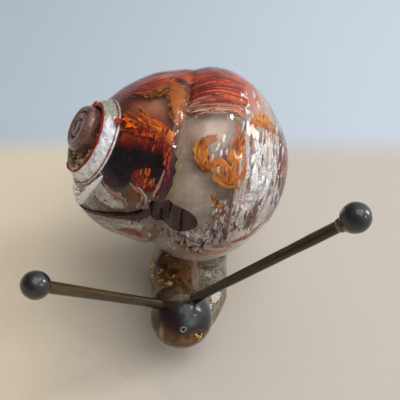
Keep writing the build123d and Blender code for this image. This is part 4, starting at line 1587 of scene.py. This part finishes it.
def build_eyes():
    """Brow, stalks, beads and the knot."""
    stops = ((0.28, 24, 16, 10), (0.46, 52, 38, 22), (0.60, 84, 66, 40), (0.76, 124, 104, 72))
    olive = pigment("brow_olive_glass", stops, rough=0.16, coat=0.12, gloss=0.2)
    brow_centre = HEAD_CENTRE + Vector((-0.20, 0.17, 0.82)) * HEAD_RADIUS
    brow = lumpy_ball(brow_centre, (2.8, 1.9, 1.3), 0.08, 1.8, 8.0)
    make_piece("brow_lens", brow, olive, ["brow_bridge"])
    stalk_glass = painted("stalk_olive_glass", 0.8, 0.5, 0.2, 0.3, 0.2, 0.2)
    stops = ((0.30, 12, 10, 9), (0.55, 26, 22, 19), (0.72, 52, 42, 33))
    black = pigment("bead_black_glass", stops, rough=0.26, relief=0.2, coat=0.5, gloss=0.5)
    rod = rod_shape(LEFT_ROOT, LEFT_DIRECTION, LEFT_LENGTH, 1.0)
    make_piece("left_stalk_rod", rod, stalk_glass, ["left_stalk"], rod_paint(1.0))
    rod = rod_shape(RIGHT_ROOT, RIGHT_DIRECTION, RIGHT_LENGTH, 4.0)
    make_piece("right_stalk_rod", rod, stalk_glass, ["right_stalk"], rod_paint(3.0))
    tip = LEFT_ROOT + LEFT_DIRECTION * LEFT_LENGTH
    bead = lumpy_ball(tip, (1.70, 1.66, 1.75), 0.05, 1.5, 2.0, 32, 48, LEFT_DIRECTION)
    make_piece("left_eye_ball", bead, black, ["left_eye_bead"])
    tip = RIGHT_ROOT + RIGHT_DIRECTION * RIGHT_LENGTH
    bead = lumpy_ball(tip, (1.80, 1.85, 1.90), 0.05, 1.5, 5.0, 32, 48, RIGHT_DIRECTION)
    make_piece("right_eye_ball", bead, black, ["right_eye_bead"])
    knot = RIGHT_ROOT + RIGHT_DIRECTION * (RIGHT_LENGTH - KNOT_BACK)
    shape = lumpy_ball(knot, (0.95, 0.93, 0.90), 0.08, 2.0, 6.0, 24, 36, RIGHT_DIRECTION)
    stops = ((0.30, 24, 20, 12), (0.50, 66, 54, 32), (0.74, 120, 102, 66))
    bronze = pigment("knot_olive_glass", stops, 0.7, rough=0.2, coat=0.6, gloss=0.5)
    make_piece("right_stalk_knot", shape, bronze, ["right_collar"])


# Stage

FLOOR_HALF = 1.2
LAMP_AIM = Vector((0.0, 0.0, 0.014))
DAYLIGHT = (1.0, 0.99, 0.97)
WHITE_LIGHT = (1.0, 1.0, 1.0)
CAMERA_TARGET = Vector((1.4, -0.1, 16.0)) * MM
CAMERA_LEAN = radians(42.0)
CAMERA_DISTANCE = 103.0 * MM
CAMERA_LENS = 67.2
CAMERA_SENSOR = 36.0


def build_floor():
    """Paper floor, warm near the object and cooler behind it; its left side is painted lighter and
    warmer, partly the paper's warmer tone and partly painted light that lifts the shell's cast shadow.
    """
    mesh = bpy.data.meshes.new("paper_floor")
    corners = [(x * FLOOR_HALF, y * FLOOR_HALF, 0) for x, y in ((-1, -1), (1, -1), (1, 1), (-1, 1))]
    mesh.from_pydata(corners, [], [(0, 1, 2, 3)])
    floor = add_object("paper_floor", mesh)
    material, tree = new_tree("paper")
    place = put(tree, "TexCoord").outputs["Object"]
    parts = put(tree, "SeparateXYZ", {"Vector": place}).outputs
    values = {"Value": parts["Y"], "From Min": 0.0275, "From Max": 0.0375}
    back = put(tree, "MapRange", values, interpolation_type="SMOOTHSTEP").outputs[0]
    # Left side painted lighter and warmer: partly the paper's warmer tone, partly painted light over
    # the shell's cast shadow.
    left = spread(tree, parts["X"], 0.0, -0.024)
    near_paper = blend(tree, left, srgb(196, 189, 178), srgb(222, 208, 182))
    side = spread(tree, parts["X"], 0.03, -0.04)
    far_paper = blend(tree, side, srgb(194, 206, 216), srgb(182, 193, 204))
    colour = blend(tree, back, near_paper, far_paper)
    fibre = grain(tree, 3.0, 4.0, 0.6)
    dark, light = (0.3, 0.94, 0.94, 0.94), (0.7, 1.03, 1.03, 1.03)
    values = {
        "Base Color": dapple(tree, 1.0, colour, fibre, dark, light),
        "Roughness": 0.9,
        "Specular IOR Level": 0.2,
        "Normal": bump(tree, fibre, 0.30, 0.15),
    }
    mesh.materials.append(dress(material, values))


def build_world():
    """Soft surround: a bright side like a window, a dim room in front, a pale horizon."""
    world = bpy.data.worlds.new("studio")
    bpy.context.scene.world = world
    world.use_nodes = True
    tree = world.node_tree
    tree.nodes.clear()
    place = put(tree, "TexCoord").outputs["Generated"]
    toward = put(tree, "VectorMath", {0: place, 1: (0.70, 0.10, 0.70)}, operation="DOT_PRODUCT")
    side = spread(tree, toward.outputs["Value"], -1.0, 1.0)
    rows = (
        (0.0, 0.16, 0.16, 0.165), (0.50, 0.17, 0.17, 0.175), (0.70, 0.38, 0.38, 0.39),
        (0.86, 0.86, 0.86, 0.88), (1.0, 1.10, 1.10, 1.12),
    )
    shade = ramp(tree, side, rows)
    height = put(tree, "SeparateXYZ", {"Vector": place}).outputs["Z"]
    rows = (
        (0.0, 0.40, 0.40, 0.40), (0.5, 0.36, 0.37, 0.38),
        (0.68, 0.08, 0.08, 0.09), (1.0, 0.0, 0.0, 0.0),
    )
    low = ramp(tree, spread(tree, height, -0.5, 0.5), rows)
    light = {"Color": blend(tree, 1.0, shade, low, "ADD"), "Strength": 1.0}
    put(tree, "OutputWorld", {"Surface": put(tree, "Background", light).outputs[0]})


def add_lamp(name, place, size, power, colour):
    """Soft lamp with straight sides that faces the shell."""
    data = bpy.data.lights.new(name, "AREA")
    data.shape = "RECTANGLE"
    data.size, data.size_y = size
    data.energy = power
    data.color = colour
    lamp = add_object(name, data)
    lamp.location = place
    lamp.rotation_euler = (LAMP_AIM - Vector(place)).to_track_quat("-Z", "Y").to_euler()


def build_camera():
    """Camera 42 degrees down."""
    data = bpy.data.cameras.new("photo_camera")
    data.lens = CAMERA_LENS
    data.sensor_width = CAMERA_SENSOR
    data.sensor_fit = "HORIZONTAL"
    data.clip_start = 0.005
    data.clip_end = 10.0
    camera = add_object("photo_camera", data)
    back = Vector((0, -cos(CAMERA_LEAN), sin(CAMERA_LEAN)))
    camera.location = CAMERA_TARGET + back * CAMERA_DISTANCE
    camera.rotation_euler = (-back).to_track_quat("-Z", "Y").to_euler()
    bpy.context.scene.camera = camera


build_camera()
build_casing()
build_core()
build_small_whorl()
build_big_whorl()
build_button()
build_collar()
build_tip_bits()
build_body()
build_eyes()
build_floor()
build_world()
add_lamp("window", (0.25, 0.06, 0.13), (0.05, 0.10), 0.22, DAYLIGHT)
add_lamp("high_window", (0.12, -0.06, 0.40), (0.34, 0.30), 0.54, DAYLIGHT)
add_lamp("spark", (0.13, 0.03, 0.20), (0.022, 0.010), 0.030, WHITE_LIGHT)
add_lamp("side_spark", (0.21, -0.10, 0.14), (0.010, 0.034), 0.045, WHITE_LIGHT)
bpy.context.scene.view_settings.view_transform = "Standard"
